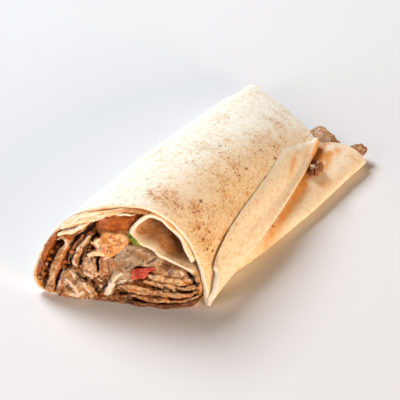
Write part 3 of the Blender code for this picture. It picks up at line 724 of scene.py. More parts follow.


# Slices. Name: CAD node, line of (u, v, thickness), pace, bulge, roughness, tone, seared and painted shade, sauced,
# oily, painted shade of gaps
MEAT_SLICES = {
    "meat_left_wall": ("meat_slice_left_1", ((-32.8, 4.8, 1.5), (-33.2, 9.0, 2.6), (-33.2, 14.0, 3.0),
                                             (-32.4, 19.0, 3.0), (-31.0, 23.5, 2.4), (-29.9, 26.4, 1.2)),
                       "late", 0.4, 0.75, 0.34, 0.30, 0.0, 0.75, 0.0),
    # a slice set back in the recess by the wall, seared dark partly as painted shade
    "meat_left_deep": ("", ((-30.6, 4.4, 2.4), (-30.4, 10.0, 2.8), (-29.7, 16.5, 2.8), (-28.2, 22.0, 2.4)),
                       "late", -2.8, 0.6, 0.26, 0.45, 0.0, 0.65, 0.06),
    "meat_left_folded": ("meat_slice_left_2", ((-28.0, 0.8, 4.2), (-28.2, 5.0, 4.3), (-28.1, 9.5, 4.1),
                                               (-27.5, 14.0, 3.8), (-26.5, 18.2, 3.3), (-25.3, 21.6, 2.4),
                                               (-24.9, 23.6, 1.9), (-26.0, 25.2, 1.7), (-27.6, 25.2, 1.5),
                                               (-29.0, 24.0, 1.0)),
                         "late", 1.2, 0.34, 0.62, 0.0, 0.06, 0.25, 0.0),
    "meat_left_shaded": ("", ((-25.3, 3.0, 1.6), (-25.2, 8.0, 2.0), (-24.8, 13.0, 2.2), (-24.2, 18.0, 2.2),
                              (-23.0, 22.6, 2.0)),
                         "late", -1.2, 0.4, 0.32, 0.35, 0.0, 0.45, 0.0),
    "meat_left_thin": ("meat_slice_left_3", ((-22.6, 11.6, 1.3), (-23.0, 15.2, 1.6), (-22.5, 18.8, 1.7),
                                             (-21.5, 22.2, 1.7), (-20.0, 25.2, 1.6), (-18.2, 27.6, 1.5),
                                             (-16.5, 29.3, 1.0)),
                       "late", -0.2, 0.30, 0.45, 0.20, 0.0, 0.50, 0.0),
    "meat_left_upper": ("", ((-25.0, 25.6, 1.0), (-23.0, 27.0, 1.7), (-21.0, 28.8, 1.9), (-19.2, 30.4, 1.5),
                             (-18.2, 31.4, 0.8)),
                        "late", -0.4, 0.40, 0.40, 0.25, 0.0, 0.65, 0.0),
    "meat_left_curled": ("meat_slice_left_4", ((-16.9, 27.3, 1.0), (-18.1, 24.6, 2.1), (-19.2, 21.6, 2.6),
                                               (-20.2, 19.2, 2.5), (-21.3, 16.9, 1.9), (-21.0, 15.0, 1.5),
                                               (-19.7, 13.4, 1.1)),
                         "late", 1.4, 0.28, 0.62, 0.0, 0.30, 0.30, 0.0),
    "meat_left_inner": ("", ((-15.9, 25.4, 1.2), (-17.1, 22.0, 2.1), (-17.5, 18.0, 2.2), (-17.4, 14.0, 1.8),
                             (-18.4, 10.8, 1.4)),
                        "late", -0.8, 0.35, 0.42, 0.30, 0.12, 0.30, 0.0),
    # the stack on the right: lighter on top, darker down to the bottom slice, which is painted dark as shade
    "meat_right_top": ("meat_slice_right_1", ((8.4, 12.0, 1.2), (11.5, 11.6, 2.6), (15.5, 11.0, 3.0),
                                              (19.5, 10.6, 3.0), (23.0, 10.6, 2.8), (25.6, 11.9, 2.0),
                                              (26.6, 13.4, 1.0)),
                       "early", 2.7, 0.42, 0.70, 0.0, 0.14, 0.15, 0.0),
    "meat_right_under": ("", ((6.8, 9.2, 1.2), (10.0, 8.6, 2.5), (14.5, 8.0, 2.7), (19.0, 7.7, 2.7),
                              (23.5, 7.8, 2.6), (26.8, 8.9, 2.0), (28.6, 10.8, 0.9)),
                         "early", 3.3, 0.42, 0.66, 0.0, 0.12, 0.22, 0.0),
    "meat_right_second": ("meat_slice_right_2", ((-2.4, 5.6, 1.2), (1.5, 5.9, 3.0), (6.0, 5.5, 3.3),
                                                 (10.5, 4.8, 3.0), (15.0, 4.5, 2.8), (20.0, 4.5, 2.5),
                                                 (25.0, 5.0, 2.1), (28.8, 6.6, 1.0)),
                          "early", 3.9, 0.42, 0.66, 0.0, 0.18, 0.25, 0.0),
    "meat_right_third": ("meat_slice_right_3", ((3.0, 2.6, 1.0), (7.0, 2.2, 2.0), (12.0, 1.6, 2.3),
                                                (17.0, 1.4, 2.3), (22.0, 1.9, 2.2), (26.5, 3.0, 1.8),
                                                (29.2, 5.0, 0.8)),
                         "early", 4.5, 0.36, 0.52, 0.05, 0.10, 0.20, 0.0),
    "meat_right_bottom": ("meat_slice_right_4", ((2.0, -0.2, 1.4), (8.0, -0.7, 2.0), (14.0, -0.9, 2.2),
                                                 (20.0, -0.4, 2.4), (25.5, 0.9, 2.3), (29.4, 3.4, 1.5)),
                          "early", 4.9, 0.26, 0.12, 0.35, 0.0, 0.12, 0.0),
}
# Lumps. Name: CAD node, kind, outline on the cut, pace, bulge, dome, roughness, grain, tone, seared and
# painted shade, sauced, oily, painted shade of gaps
LUMPS = {
    "meat_chunk_saucy": ("meat_chunk_left", "meat",
                         ((-25.2, 1.0), (-25.4, 6.0), (-24.6, 10.4), (-22.0, 12.2), (-19.0, 11.6), (-16.6, 8.8),
                          (-12.6, 7.2), (-9.6, 4.4), (-9.0, 0.8), (-12.0, -1.0), (-17.0, -1.2), (-23.0, -0.8)),
                         "late", 2.4, 2.4, 0.75, 2.2, 0.50, 0.06, 0.42, 0.18, 0.0),
    "meat_chunk_grey": ("meat_chunk_middle", "meat",
                        ((-17.2, 16.8), (-15.0, 18.4), (-12.7, 17.6), (-12.0, 14.4), (-11.4, 11.8), (-11.0, 9.7),
                         (-13.0, 8.8), (-16.0, 9.6), (-17.2, 12.4)),
                        "late", 1.5, 1.1, 0.55, 1.8, 0.52, 0.05, 0.50, 0.10, 0.0),
    "meat_chunk_streaked": ("meat_chunk_centre", "meat",
                            ((-11.2, 18.2), (-8.2, 18.8), (-5.4, 17.0), (-3.8, 13.0), (-4.6, 9.6), (-7.4, 8.0),
                             (-10.2, 9.6)),
                            "late", 1.5, 1.0, 0.55, 1.6, 0.50, 0.08, 0.22, 0.35, 0.0),
    "meat_chunk_far": ("meat_chunk_right", "meat",
                       ((8.6, 19.0), (11.0, 19.2), (15.0, 17.5), (19.5, 16.1), (23.4, 14.3), (26.6, 11.8),
                        (25.0, 10.8), (19.0, 11.4), (13.5, 12.0), (8.6, 12.6)),
                       "early", 1.2, 1.4, 0.50, 2.4, 0.44, 0.05, 0.36, 0.14, 0.0),
    "meat_chopped": ("meat_crumble_bottom", "meat",
                     ((-14.0, 8.4), (-10.0, 9.6), (-6.6, 9.8), (-5.4, 6.0), (-3.6, 4.0), (2.0, 4.8), (5.0, 2.6),
                      (4.4, -0.8), (-2.0, -1.6), (-8.0, -1.4), (-12.0, 0.4), (-13.6, 4.6)),
                     "early", 2.0, 0.8, 0.95, 1.0, 0.30, 0.42, 0.06, 0.35, 0.0),
    "salad_mix": ("salad_filling", "salad",
                  ((-15.8, 24.6), (-13.2, 26.8), (-12.6, 28.4), (-8.4, 29.2), (-3.6, 29.6), (-1.4, 27.6),
                   (-1.8, 24.0), (-4.4, 21.0), (-7.6, 18.4), (-9.4, 16.8), (-11.6, 18.8), (-13.0, 20.4),
                   (-13.4, 22.2), (-14.4, 23.2)),
                  "late", 1.2, 1.4, 0.75, 1.5, 0.48, 0.0, 0.18, 0.16, 0.0),
    "onion_tongue": ("", "salad",
                     ((-16.6, 18.9), (-15.2, 20.0), (-12.6, 21.2), (-10.4, 21.0), (-9.6, 18.6), (-11.8, 18.8),
                      (-13.6, 17.9), (-15.2, 17.6)),
                     "late", 2.2, 0.6, 0.2, 1.4, 0.80, 0.0, 0.55, 0.0, 0.0),
    "onion_glazed": ("sauced_onion", "onion",
                     ((-14.4, 30.0), (-15.2, 33.0), (-14.0, 36.0), (-8.0, 37.6), (-3.0, 37.8), (-0.2, 36.0),
                      (-1.0, 31.6), (-1.8, 28.6), (-7.0, 27.4), (-12.4, 27.6)),
                     "late", -2.6, 1.6, 0.22, 2.8, 0.50, 0.0, 0.0, 0.1, 0.0),
    "sauce_mass": ("garlic_sauce", "sauce",
                   ((-5.6, 19.0), (-4.2, 22.6), (-2.6, 25.2), (0.6, 25.3), (3.6, 24.3), (8.6, 21.4), (12.8, 18.5),
                    (12.8, 16.0), (9.0, 15.6), (3.0, 15.4), (2.6, 10.2), (0.4, 8.2), (-2.8, 8.8), (-4.8, 11.4),
                    (-5.8, 15.0)),
                   "early", 1.6, 1.2, 0.40, 2.6, 0.42, 0.0, 0.20, 0.12, 0.0),
    "sauce_drip": ("", "sauce",
                   ((-7.4, 2.2), (-6.9, 5.4), (-5.9, 9.0), (-4.6, 12.6), (-1.0, 13.6), (2.6, 12.2), (3.0, 9.8),
                    (0.6, 7.6), (-1.6, 7.0), (-3.2, 5.8), (-3.8, 3.6), (-4.4, 1.8), (-5.8, 1.2)),
                   "early", 2.5, 1.0, 0.45, 1.8, 0.50, 0.0, 0.12, 0.10, 0.0),
    "tomato_cube": ("tomato_piece", "tomato",
                    ((1.9, 11.4), (2.1, 14.2), (4.4, 14.7), (6.4, 15.3), (10.3, 15.9), (9.8, 14.4), (8.5, 13.6),
                     (8.0, 12.0), (7.2, 10.5), (6.0, 10.5), (4.6, 10.0), (2.6, 9.6)),
                    "early", 3.6, 0.4, 0.15, 1.4, 0.50, 0.0, 0.05, 0.0, 0.0),
    # a near-black backing behind all the fillings: painted shade in the clefts between them
    "shade_backing": ("", "meat",
                  ((-30.4, 5.6), (-31.8, 13.0), (-30.4, 23.4), (-24.0, 33.4), (-15.0, 37.4), (-3.0, 38.0),
                   (-2.6, 31.0), (-2.6, 28.0), (1.0, 24.0), (8.0, 20.6), (18.0, 16.0), (26.0, 11.6), (27.6, 8.0),
                   (26.6, 3.4), (20.0, 2.6), (0.0, 2.6), (-26.0, 2.6)),
                  "late", -5.0, 0.3, 0.9, 2.0, 0.2, 0.8, 0.0, 0.1, 0.65),
}
SHALLOW = {"shade_backing": 0.09}       # how far into the roll the dark backing reaches
# What runs over the fillings: kind, half width, height, line of (u, v) on the cut
MARKS = (
    # left: painted shade in the recess behind the folded slice and on its shaded side, and in the hollows below the
    # flap
    ("sear_and_shade", 1.2, -0.5, ((-30.5, 15.0), (-29.8, 18.5), (-29.0, 21.8), (-27.4, 22.6))),
    ("sear_and_shade", 0.6, -0.6, ((-30.6, 13.6), (-30.9, 10.5), (-31.0, 7.5))),
    ("sear_and_shade", 0.45, -0.5, ((-32.6, 5.6), (-33.2, 8.2), (-32.8, 11.6), (-31.6, 14.4))),
    ("oil", 0.8, 0.1, ((-32.8, 14.0), (-32.2, 18.6), (-31.4, 22.6), (-30.0, 26.4))),
    ("oil", 0.55, 0.0, ((-26.8, 2.4), (-26.7, 7.0), (-26.2, 12.0), (-25.4, 16.5), (-24.4, 20.5))),
    ("sear_and_shade", 0.45, -0.3, ((-26.0, 2.6), (-26.0, 7.5))),
    ("gap", 0.55, -1.2, ((-25.5, 6.8), (-25.3, 9.5), (-24.6, 12.0))),
    ("gap", 0.9, -1.5, ((-24.0, 12.9), (-23.4, 13.0))),
    ("gap", 0.6, -1.2, ((-24.2, 14.6), (-24.0, 17.0), (-23.6, 19.2))),
    ("gap", 0.5, -1.0, ((-22.0, 13.4), (-22.4, 15.6), (-22.0, 18.0), (-21.4, 20.0))),
    ("oil", 0.7, 0.1, ((-26.4, 26.4), (-24.8, 25.2), (-23.2, 25.6))),
    ("sauce", 0.35, 0.2, ((-25.6, 20.6), (-24.7, 22.2), (-26.0, 24.4), (-28.4, 24.4))),
    ("sear_and_shade", 0.6, -0.3, ((-24.0, 22.4), (-22.4, 24.6), (-20.4, 27.2))),
    ("gap", 1.5, -2.5, ((-17.4, 31.0), (-16.2, 33.6))),
    ("gap", 0.9, -2.0, ((-16.0, 30.4), (-14.9, 28.2), (-13.4, 27.6))),
    ("gap", 0.6, -1.5, ((-15.4, 27.2), (-15.5, 25.6))),
    ("gap", 0.5, -1.0, ((-19.4, 27.4), (-18.0, 29.4), (-17.2, 30.0))),
    ("oil", 0.45, 0.1, ((-18.6, 27.8), (-16.8, 29.2))),
    ("sear_and_shade", 0.5, -0.5, ((-19.6, 25.0), (-18.2, 27.2))),
    # the curled slice with sauce along its edge, and painted shade in the gaps beside it
    ("sauce", 0.5, 0.35, ((-20.4, 21.6), (-20.9, 19.0), (-21.8, 16.4), (-21.0, 14.6), (-19.6, 13.4))),
    ("sauce", 0.35, 0.2, ((-17.0, 27.2), (-18.3, 24.6), (-19.2, 22.4))),
    ("oil", 0.5, 0.1, ((-19.9, 18.9),)),
    ("oil", 0.45, 0.1, ((-20.3, 15.6),)),
    ("gap", 0.55, -1.6, ((-18.3, 15.6), (-18.0, 14.2), (-18.5, 12.9))),
    ("sear_and_shade", 0.5, -0.5, ((-17.0, 23.4), (-18.0, 21.0), (-18.4, 17.6))),
    ("gap", 0.4, -0.9, ((-16.2, 23.6), (-16.9, 21.4), (-16.7, 19.6))),
    ("oil", 0.8, -0.2, ((-15.0, 22.8), (-14.4, 21.6))),
    # chunks in the middle, with painted shade in the clefts between them
    ("sauce", 0.5, 0.35, ((-16.2, 10.6), (-14.4, 9.7), (-12.8, 8.8))),
    ("sauce", 0.45, 0.35, ((-11.6, 11.0), (-10.6, 10.6))),
    ("gap", 0.55, -1.8, ((-12.2, 17.4), (-11.6, 15.2), (-11.0, 12.8))),
    ("gap", 0.4, -1.0, ((-13.2, 18.0), (-11.4, 18.2))),
    ("sear_and_shade", 0.6, -0.3, ((-14.4, 17.4), (-15.6, 15.6))),
    ("oil", 0.45, 0.0, ((-10.8, 18.4), (-10.2, 16.0), (-9.8, 13.4), (-9.0, 10.6))),
    ("sear_and_shade", 0.4, -0.2, ((-8.0, 16.6), (-7.0, 14.2), (-6.6, 12.0))),
    ("gap", 0.6, -1.2, ((-19.0, 10.4), (-17.4, 8.6), (-15.0, 7.8))),
    ("sear_and_shade", 0.9, -0.6, ((-18.6, 8.0), (-15.0, 7.2), (-12.6, 6.6), (-10.6, 4.6))),
    ("gap", 0.45, -0.8, ((-12.6, 7.4), (-11.2, 6.4), (-10.2, 3.6), (-9.4, 2.4))),
    ("gap", 0.4, -0.8, ((-7.4, 8.4), (-6.6, 6.4), (-7.8, 4.4))),
    ("sauce", 0.4, 0.2, ((-10.4, 8.6), (-8.8, 7.8))),
    ("sauce", 0.35, 0.1, ((-9.4, 5.8), (-8.4, 5.0))),
    # the saucy chunk at the bottom left
    ("sauce", 0.3, 0.1, ((-24.2, 10.8), (-25.0, 8.0), (-24.9, 4.6))),
    ("oil", 0.5, 0.1, ((-24.2, 9.0), (-24.1, 6.0), (-23.8, 2.6))),
    ("oil", 0.6, 0.0, ((-23.6, 1.4), (-22.0, -0.6), (-20.2, -0.2))),
    ("oil", 0.5, 0.0, ((-13.2, 0.4),)),
    ("sauce", 0.6, 0.5, ((-22.8, 7.0), (-20.8, 5.6), (-18.8, 3.4), (-17.0, 1.2))),
    ("sauce", 0.9, 0.3, ((-19.8, 0.4), (-17.0, 0.2), (-15.4, 1.4))),
    ("sauce", 0.45, 0.35, ((-15.6, 6.0), (-14.6, 4.0), (-12.6, 2.4))),
    ("sauce", 0.35, 0.2, ((-21.8, 11.0), (-20.2, 9.4), (-19.6, 7.8))),
    ("sear_and_shade", 0.7, -0.3, ((-21.8, 4.2), (-20.4, 2.6))),
    ("sear_and_shade", 0.6, -0.3, ((-18.8, 6.4), (-17.4, 4.8))),
    ("sear_and_shade", 0.5, -0.2, ((-19.8, 1.6), (-18.8, 1.4))),
    ("oil", 0.45, 0.0, ((-15.4, 0.4), (-15.0, -0.2))),
    # sauce: the bright run, the grey mass, its brown streaks
    ("sauce", 1.3, 0.3, ((-5.9, 2.8), (-5.4, 4.6), (-4.8, 6.2))),
    ("sauce", 0.5, 0.2, ((-4.4, 7.6), (-3.6, 10.0), (-2.0, 11.8))),
    ("sauce", 0.45, 0.1, ((-1.8, 8.6), (0.4, 9.2))),
    # a painted highlight: a white glint by the tomato
    ("sauce", 0.5, 0.3, ((2.2, 8.9), (2.8, 8.9))),
    ("sauce", 0.6, 0.1, ((-1.8, 7.2), (0.0, 8.2))),
    ("oil", 0.55, -0.1, ((-4.8, 16.0), (-3.4, 14.0), (-1.4, 12.4))),
    ("oil", 0.5, -0.1, ((-2.4, 16.6), (-1.6, 15.0))),
    ("sear_and_shade", 0.4, -0.2, ((1.4, 16.8), (0.4, 15.2), (-0.6, 14.0))),
    ("oil", 0.6, -0.1, ((3.0, 21.2), (5.0, 20.6), (6.4, 19.4))),
    ("sear_and_shade", 0.6, -0.3, ((7.2, 17.6), (8.6, 18.8), (10.0, 19.8))),
    ("gap", 0.35, -0.4, ((5.1, 18.8), (5.3, 18.2))),
    ("sear_and_shade", 0.5, -0.2, ((-1.0, 22.3),)),
    ("sear_and_shade", 0.45, 0.0, ((-1.2, 25.0), (0.2, 25.0))),
    ("sear_and_shade", 0.4, -0.1, ((4.6, 16.4),)),
    # the soft grey end at the right, a darker patch on it, and painted shade in the hollow beyond it
    ("sear_and_shade", 1.5, -0.2, ((14.0, 17.0), (15.6, 16.2), (17.0, 14.6))),
    ("sauce", 0.7, 0.3, ((20.8, 15.6), (21.6, 14.2))),
    ("gap", 0.5, -1.0, ((20.8, 17.6), (22.2, 16.6))),
    ("gap", 0.9, -1.8, ((24.0, 15.2), (25.2, 13.6), (26.8, 11.6), (28.0, 10.0))),
    ("oil", 0.45, -0.1, ((21.6, 12.4), (23.2, 10.6), (25.2, 10.6))),
    ("gap", 0.5, -0.9, ((9.0, 13.3), (10.0, 13.3))),
    ("oil", 0.4, 0.1, ((10.8, 13.8),)),
    # right: painted shade in the gaps between the stacked slices
    ("oil", 0.45, -0.3, ((7.4, 8.6), (9.6, 8.0), (12.0, 7.2))),
    ("sear_and_shade", 0.35, -0.7, ((9.4, 7.9), (12.0, 7.0))),
    ("gap", 0.4, -1.2, ((13.6, 6.9), (15.4, 6.8))),
    ("gap", 0.45, -1.3, ((15.8, 7.5), (17.2, 7.0), (18.6, 6.5))),
    ("gap", 0.5, -1.3, ((20.2, 7.4), (21.4, 6.7), (23.0, 6.3), (26.4, 6.8))),
    ("gap", 0.45, -0.9, ((28.0, 5.5),)),
    ("sear_and_shade", 0.35, -0.7, ((12.4, 3.0), (14.0, 2.6), (14.9, 1.9))),
    ("oil", 0.45, -0.2, ((17.2, 2.6), (21.0, 2.9), (26.0, 4.1))),
    ("gap", 0.25, -0.9, ((18.0, 2.7), (21.0, 3.0), (25.6, 4.0))),
    ("gap", 0.5, -1.3, ((4.8, 1.5), (6.6, 0.9), (9.4, 0.3))),
    ("sear_and_shade", 0.4, -0.5, ((9.6, 0.3), (14.0, 0.1), (18.6, 0.5), (23.0, 1.2))),
    ("oil", 0.6, 0.2, ((0.6, 7.4),)),
    ("oil", 0.5, 0.2, ((2.8, 7.5), (3.4, 7.3))),
    ("oil", 0.5, 0.2, ((6.4, 7.2),)),
    ("oil", 0.55, 0.1, ((2.6, 5.3), (5.2, 5.0))),
    ("oil", 0.6, 0.1, ((-2.8, 5.4), (-2.6, 4.2))),
    ("sear_and_shade", 0.45, -0.2, ((8.0, 5.2), (8.6, 4.8))),
    ("sear_and_shade", 0.5, -0.2, ((-1.2, 5.6), (0.6, 4.6))),
    ("gap", 0.75, -2.0, ((-0.8, 3.2), (1.4, 3.5))),
    ("gap", 0.45, -0.8, ((-2.4, -0.4), (-1.8, -0.8))),
    ("gap", 0.4, -0.6, ((2.8, -0.6), (5.0, -0.6))),
    # salad and onion: pink and pale bits, and painted shade on the onion's upper side under the bread flap
    ("oil", 0.6, 0.15, ((-5.4, 23.8),)),
    ("oil", 0.45, 0.15, ((-8.2, 23.0), (-8.0, 22.4))),
    ("oil", 0.6, 0.15, ((-11.4, 21.6), (-10.2, 21.4))),
    ("oil", 0.45, 0.15, ((-8.8, 20.9), (-7.2, 20.6))),
    ("oil", 0.4, 0.15, ((-4.2, 25.0), (-3.6, 25.2))),
    ("oil", 0.4, 0.15, ((-8.8, 27.2), (-7.4, 27.2))),
    ("sauce", 0.5, 0.15, ((-12.8, 26.6), (-14.4, 24.6), (-13.2, 23.4), (-12.2, 22.0))),
    ("sauce", 0.5, 0.1, ((-9.4, 17.6), (-8.0, 18.4))),
    ("sear_and_shade", 0.8, -0.1, ((-13.4, 35.6), (-8.0, 37.0), (-3.0, 37.0), (-0.8, 35.0), (-1.4, 31.6))),
    ("oil", 0.7, 0.0, ((-8.2, 32.2), (-6.2, 30.6))),
    ("oil", 0.4, 0.0, ((-9.6, 30.9),)),
)


def make_fillings(looks):
    """Every slice and lump of the tables above."""
    for seed, (name, row) in enumerate(MEAT_SLICES.items()):
        node, line, pace, out, rough, tone, sear_and_shade, sauce, oil, gap = row
        rings, streaks = slice_rings(line, pace, out, rough, 100 + 10 * seed)
        place_filling(name, rings, streaks, looks["meat"], (node,) if node else (), 300 + 10 * seed,
                      tone, sear_and_shade, sauce, oil, gap)
    for seed, (name, row) in enumerate(LUMPS.items()):
        node, kind, outline, pace, out, dome, rough, grain, tone, sear_and_shade, sauce, oil, gap = row
        rings, streaks = lump_rings(outline, pace, out, dome, rough, grain, 500 + 10 * seed, SHALLOW.get(name, 0.89))
        place_filling(name, rings, streaks, looks[kind], (node,) if node else (), 600 + 10 * seed,
                      tone, sear_and_shade, sauce, oil, gap)


# Loose bits stuck to the cut face: name: kind, radius, places (u, v) on the cut, tone, seared, oily
BITS = {
    "crumbs_seared": ("meat", 0.75, 3.4, ((-31.2, 13.2), (-33.0, 6.4), (-32.0, 8.8), (-24.0, -0.2), (-21.6, -0.6),
                                          (-12.6, 0.2), (-10.4, 0.6), (-8.2, 0.8), (-6.6, 0.2), (-4.2, 1.2), (-2.4, 2.0),
                                          (-10.8, 5.6), (-8.6, 6.8), (-12.0, 3.6), (-0.4, 0.4), (3.4, 0.6)),
                      0.3, 0.35, 0.4),
    "crumbs_oily": ("meat", 0.65, 4.2, ((1.6, 2.0), (0.6, 7.4), (2.8, 7.6), (6.4, 7.2), (-20.0, 19.0), (-20.2, 15.6),
                                        (-23.6, 1.2), (-2.8, 5.0), (4.6, 5.2), (-17.4, 3.4), (-7.6, 2.6)),
                    0.55, 0.0, 0.75),
    "meat_shreds": ("meat", 1.15, 0.6, ((-31.4, 8.6), (-31.6, 11.8), (-30.9, 15.6), (-30.4, 18.8), (-32.0, 20.6),
                                        (-24.9, 9.2), (-24.5, 14.6), (-22.4, 19.6), (-19.6, 26.4), (-15.9, 21.0),
                                        (-24.3, 12.2), (-17.8, 13.4), (-10.4, 6.6), (-8.0, 5.0)),
                    0.28, 0.2, 0.7),
    "onion_bits": ("salad", 0.62, 3.2, ((-5.4, 23.8), (-8.2, 22.8), (-11.0, 21.6), (-8.4, 20.9), (-7.0, 20.6),
                                        (-4.0, 25.0), (-8.0, 27.1), (-10.2, 24.6), (-6.4, 26.0)),
                   0.7, 0.0, 0.3),
}


def bit_rings(rows=8, around=12):
    """A small ball as closed rings: radius sin of the polar angle, height its cosine."""
    polar = np.linspace(0.12, np.pi - 0.12, rows)[:, None]
    turn = 2 * np.pi * np.arange(around)[None] / around
    return np.stack([np.sin(polar) * np.cos(turn), np.sin(polar) * np.sin(turn), np.cos(polar) + 0 * turn], -1)


def stick_bits(name, middles, radius, look, nodes, tone, sear_and_shade, oil, seed):
    """One mesh of small balls round the middles, each stretched, turned and dented by noise."""
    ball = bit_rings()
    chance = np.random.default_rng(seed)
    verts, faces = [], []
    for count, middle in enumerate(middles):
        turn = Matrix.Rotation(chance.uniform(0, 6.28), 3, Vector(chance.normal(size=3)).normalized())
        shape = (ball * radius * chance.uniform(0.45, 1.35, 3)) @ np.array(turn)
        dents = layered_noise(shape + middle, radius * 0.9, 83, 3)[..., None]
        verts.append((shape + 0.95 * radius * ball * dents + middle).reshape(-1, 3))
        faces.append(loft_faces(*ball.shape[:2]) + count * ball.shape[0] * ball.shape[1])
    verts = np.vstack(verts)
    verts[:, 2] = np.maximum(verts[:, 2], 0.15)
    grain = noise(verts, 0.9, 85)
    each = np.repeat(chance.uniform(-0.45, 0.45, len(middles)), ball.shape[0] * ball.shape[1])
    paint = {"tone": tone + 0.4 * grain + each, "sear_and_shade": sear_and_shade * (1.0 + grain), "sauce": 0 * grain, "oil": oil * (1.0 + grain),
             "gap": 0 * grain}
    add_piece(name, verts, np.vstack(faces), look, nodes, paint)


def make_bits(looks):
    """Each kind of loose bit on the cut, and the seared bit stuck in the crevice beside the fold."""
    for seed, (name, (kind, radius, out, places, tone, sear_and_shade, oil)) in enumerate(BITS.items()):
        middles = [np.array([u, cut_y(u, v), v]) + OUT * out for u, v in places]
        stick_bits(name, middles, radius, looks[kind], (), tone, sear_and_shade, oil, 80 + seed)
    stick_bits("meat_bit_crevice", np.array(CREVICE_BITS), 2.3, looks["meat"], ("meat_bit_side",),
               0.48, 0.35, 0.30, 97)


CREVICE_BITS = ((26.8, 41.4, 11.8), (28.0, 43.4, 11.7), (26.2, 44.8, 12.5), (27.4, 46.8, 12.0))
# Meat at the folded end: CAD node, tone, and its rings of y, left x, right x, z, half thickness
TIPS = {
    "meat_end_wide": ("meat_tip_far_1", 0.52,
                      ((59.5, 4.0, 23.0, 5.2, 0.9), (67.0, 4.0, 25.6, 5.6, 1.2), (72.0, 4.4, 25.6, 6.0, 1.2),
                       (75.0, 5.2, 24.0, 6.3, 1.1), (77.4, 6.0, 18.5, 6.6, 0.9), (79.2, 7.0, 12.6, 6.8, 0.5))),
    "meat_end_small": ("meat_tip_far_2", 0.42,
                       ((60.0, 24.0, 31.5, 4.6, 0.9), (70.0, 24.4, 34.0, 4.8, 1.1), (75.0, 25.4, 34.8, 5.2, 1.1),
                        (77.8, 27.6, 34.6, 5.6, 0.8), (79.4, 30.4, 33.6, 5.8, 0.5))),
}
TIP_SLANT = -0.12


def tip_rings(rows, seed, count=90, around=110):
    """A torn flat tip of meat: rings across it at even steps of y, each a flattened oval between its left
    and right edge. Noise tears the edges, and ridges like fibres run along its faces."""
    rows = np.array(rows)
    y = np.linspace(rows[0, 0], rows[-1, 0], count)
    left, right, z, half = (np.interp(y, rows[:, 0], rows[:, k]) for k in range(1, 5))
    line = np.stack([y, 0 * y, 0 * y], -1)
    left = left + 0.5 * layered_noise(line, 2.6, seed + 1)
    right = right + 0.9 * layered_noise(line, 2.2, seed + 2)
    turn = 2 * np.pi * np.arange(around) / around
    wide = np.sign(np.cos(turn)) * np.abs(np.cos(turn)) ** 0.6
    tall = np.sign(np.sin(turn)) * np.abs(np.sin(turn)) ** 0.8
    x = ((left + right) / 2)[:, None] + ((right - left) / 2)[:, None] * wide
    rings = np.stack([x, y[:, None] + TIP_SLANT * (x - rows[0, 1]), z[:, None] + half[:, None] * tall], -1)
    torn = 0.9 * layered_noise(rings * (1.0, 0.0, 0.0), 2.4, seed + 3)
    rings[..., 1] += torn * smooth_step(rings[..., 1], 66.0, 74.0)
    ridges = layered_noise(rings, (1.5, 4.0, 1.5), seed)
    moved = rings + outward_normals(rings) * (0.42 * ridges + 0.5 * noise(rings, (4.0, 6.0, 3.0), seed + 4))[..., None]
    return moved, ridges


def make_tips(look):
    """The tips of meat that poke out of the folded end."""
    for seed, (name, (node, tone, rows)) in enumerate(TIPS.items()):
        rings, ridges = tip_rings(rows, 950 + 10 * seed)
        place_filling(name, rings, ridges, look, (node,), 960 + 10 * seed, tone, 0.12, 0.0, 0.35, 0.0,
                      True)


def make_leaf(look):
    """A torn bit of parsley: a thin blade, 7 mm long, carried along a bent line in front of the cut, widest
    in the middle, its edge notched, with a ridge along its rib."""
    t = np.linspace(0.0, 1.0, 40)
    u, v = -2.3 + 5.5 * t, 30.0 - 5.2 * t - 0.5 * np.sin(np.pi * t)
    path = np.stack([u, cut_y(u, v), v], -1) + OUT * (3.0 + 0.7 * np.sin(np.pi * t))[:, None]
    along = np.gradient(path, axis=0)
    along /= np.linalg.norm(along, axis=1, keepdims=True)
    wide = np.cross(OUT, along)
    wide /= np.linalg.norm(wide, axis=1, keepdims=True)
    half = 1.05 * np.sin(np.pi * (0.06 + 0.9 * t)) ** 0.55 * (1.0 + 0.16 * np.sin(t * 34.0))
    turn = 2 * np.pi * np.arange(20) / 20
    side, face = np.cos(turn)[None, :, None], np.sin(turn)[None, :, None]
    cup = 0.35 * side ** 2 - 0.12 * np.exp(-(side / 0.2) ** 2)
    rings = path[:, None] + wide[:, None] * half[:, None, None] * side + OUT * (0.16 * face + cup * half[:, None, None])
    rings = rings + 0.14 * noise(rings, 1.1, 91)[..., None] * OUT
    spot = np.exp(-(np.linalg.norm(rings - path[8], axis=-1) / 0.8) ** 2)
    add_piece("parsley_leaf", rings.reshape(-1, 3), loft_faces(*rings.shape[:2]), look, (),
              {"spot": spot, "rib": np.exp(-(side[..., 0] / 0.18) ** 2) * np.ones(rings.shape[:2])})


# ---------------------------------------------------------------- materials
def add(tree, kind, inputs=None, **settings):
    """One shader node: settings are its properties, inputs its sockets, each a value or another's output."""
    made = tree.nodes.new("ShaderNode" + kind)
    for key, value in settings.items():
        setattr(made, key, value)
    for key, value in (inputs or {}).items():
        if isinstance(value, bpy.types.NodeSocket):
            tree.links.new(value, made.inputs[key])
        else:
            made.inputs[key].default_value = value
    return made


def new_material(name, roughness, subsurface=0.0, coat=0.0):
    """A Principled material; its plain numbers sit on the shader's own sockets."""
    made = bpy.data.materials.new(name)
    made.use_nodes = True
    shader = made.node_tree.nodes["Principled BSDF"]
    shader.inputs["Roughness"].default_value = roughness
    shader.inputs["IOR"].default_value = 1.45
    shader.inputs["Subsurface Weight"].default_value = subsurface
    shader.inputs["Subsurface Radius"].default_value = (1.0, 0.65, 0.4)
    shader.inputs["Subsurface Scale"].default_value = 0.0015
    shader.inputs["Coat Weight"].default_value = coat
    shader.inputs["Coat Roughness"].default_value = 0.18
    return made, made.node_tree, shader


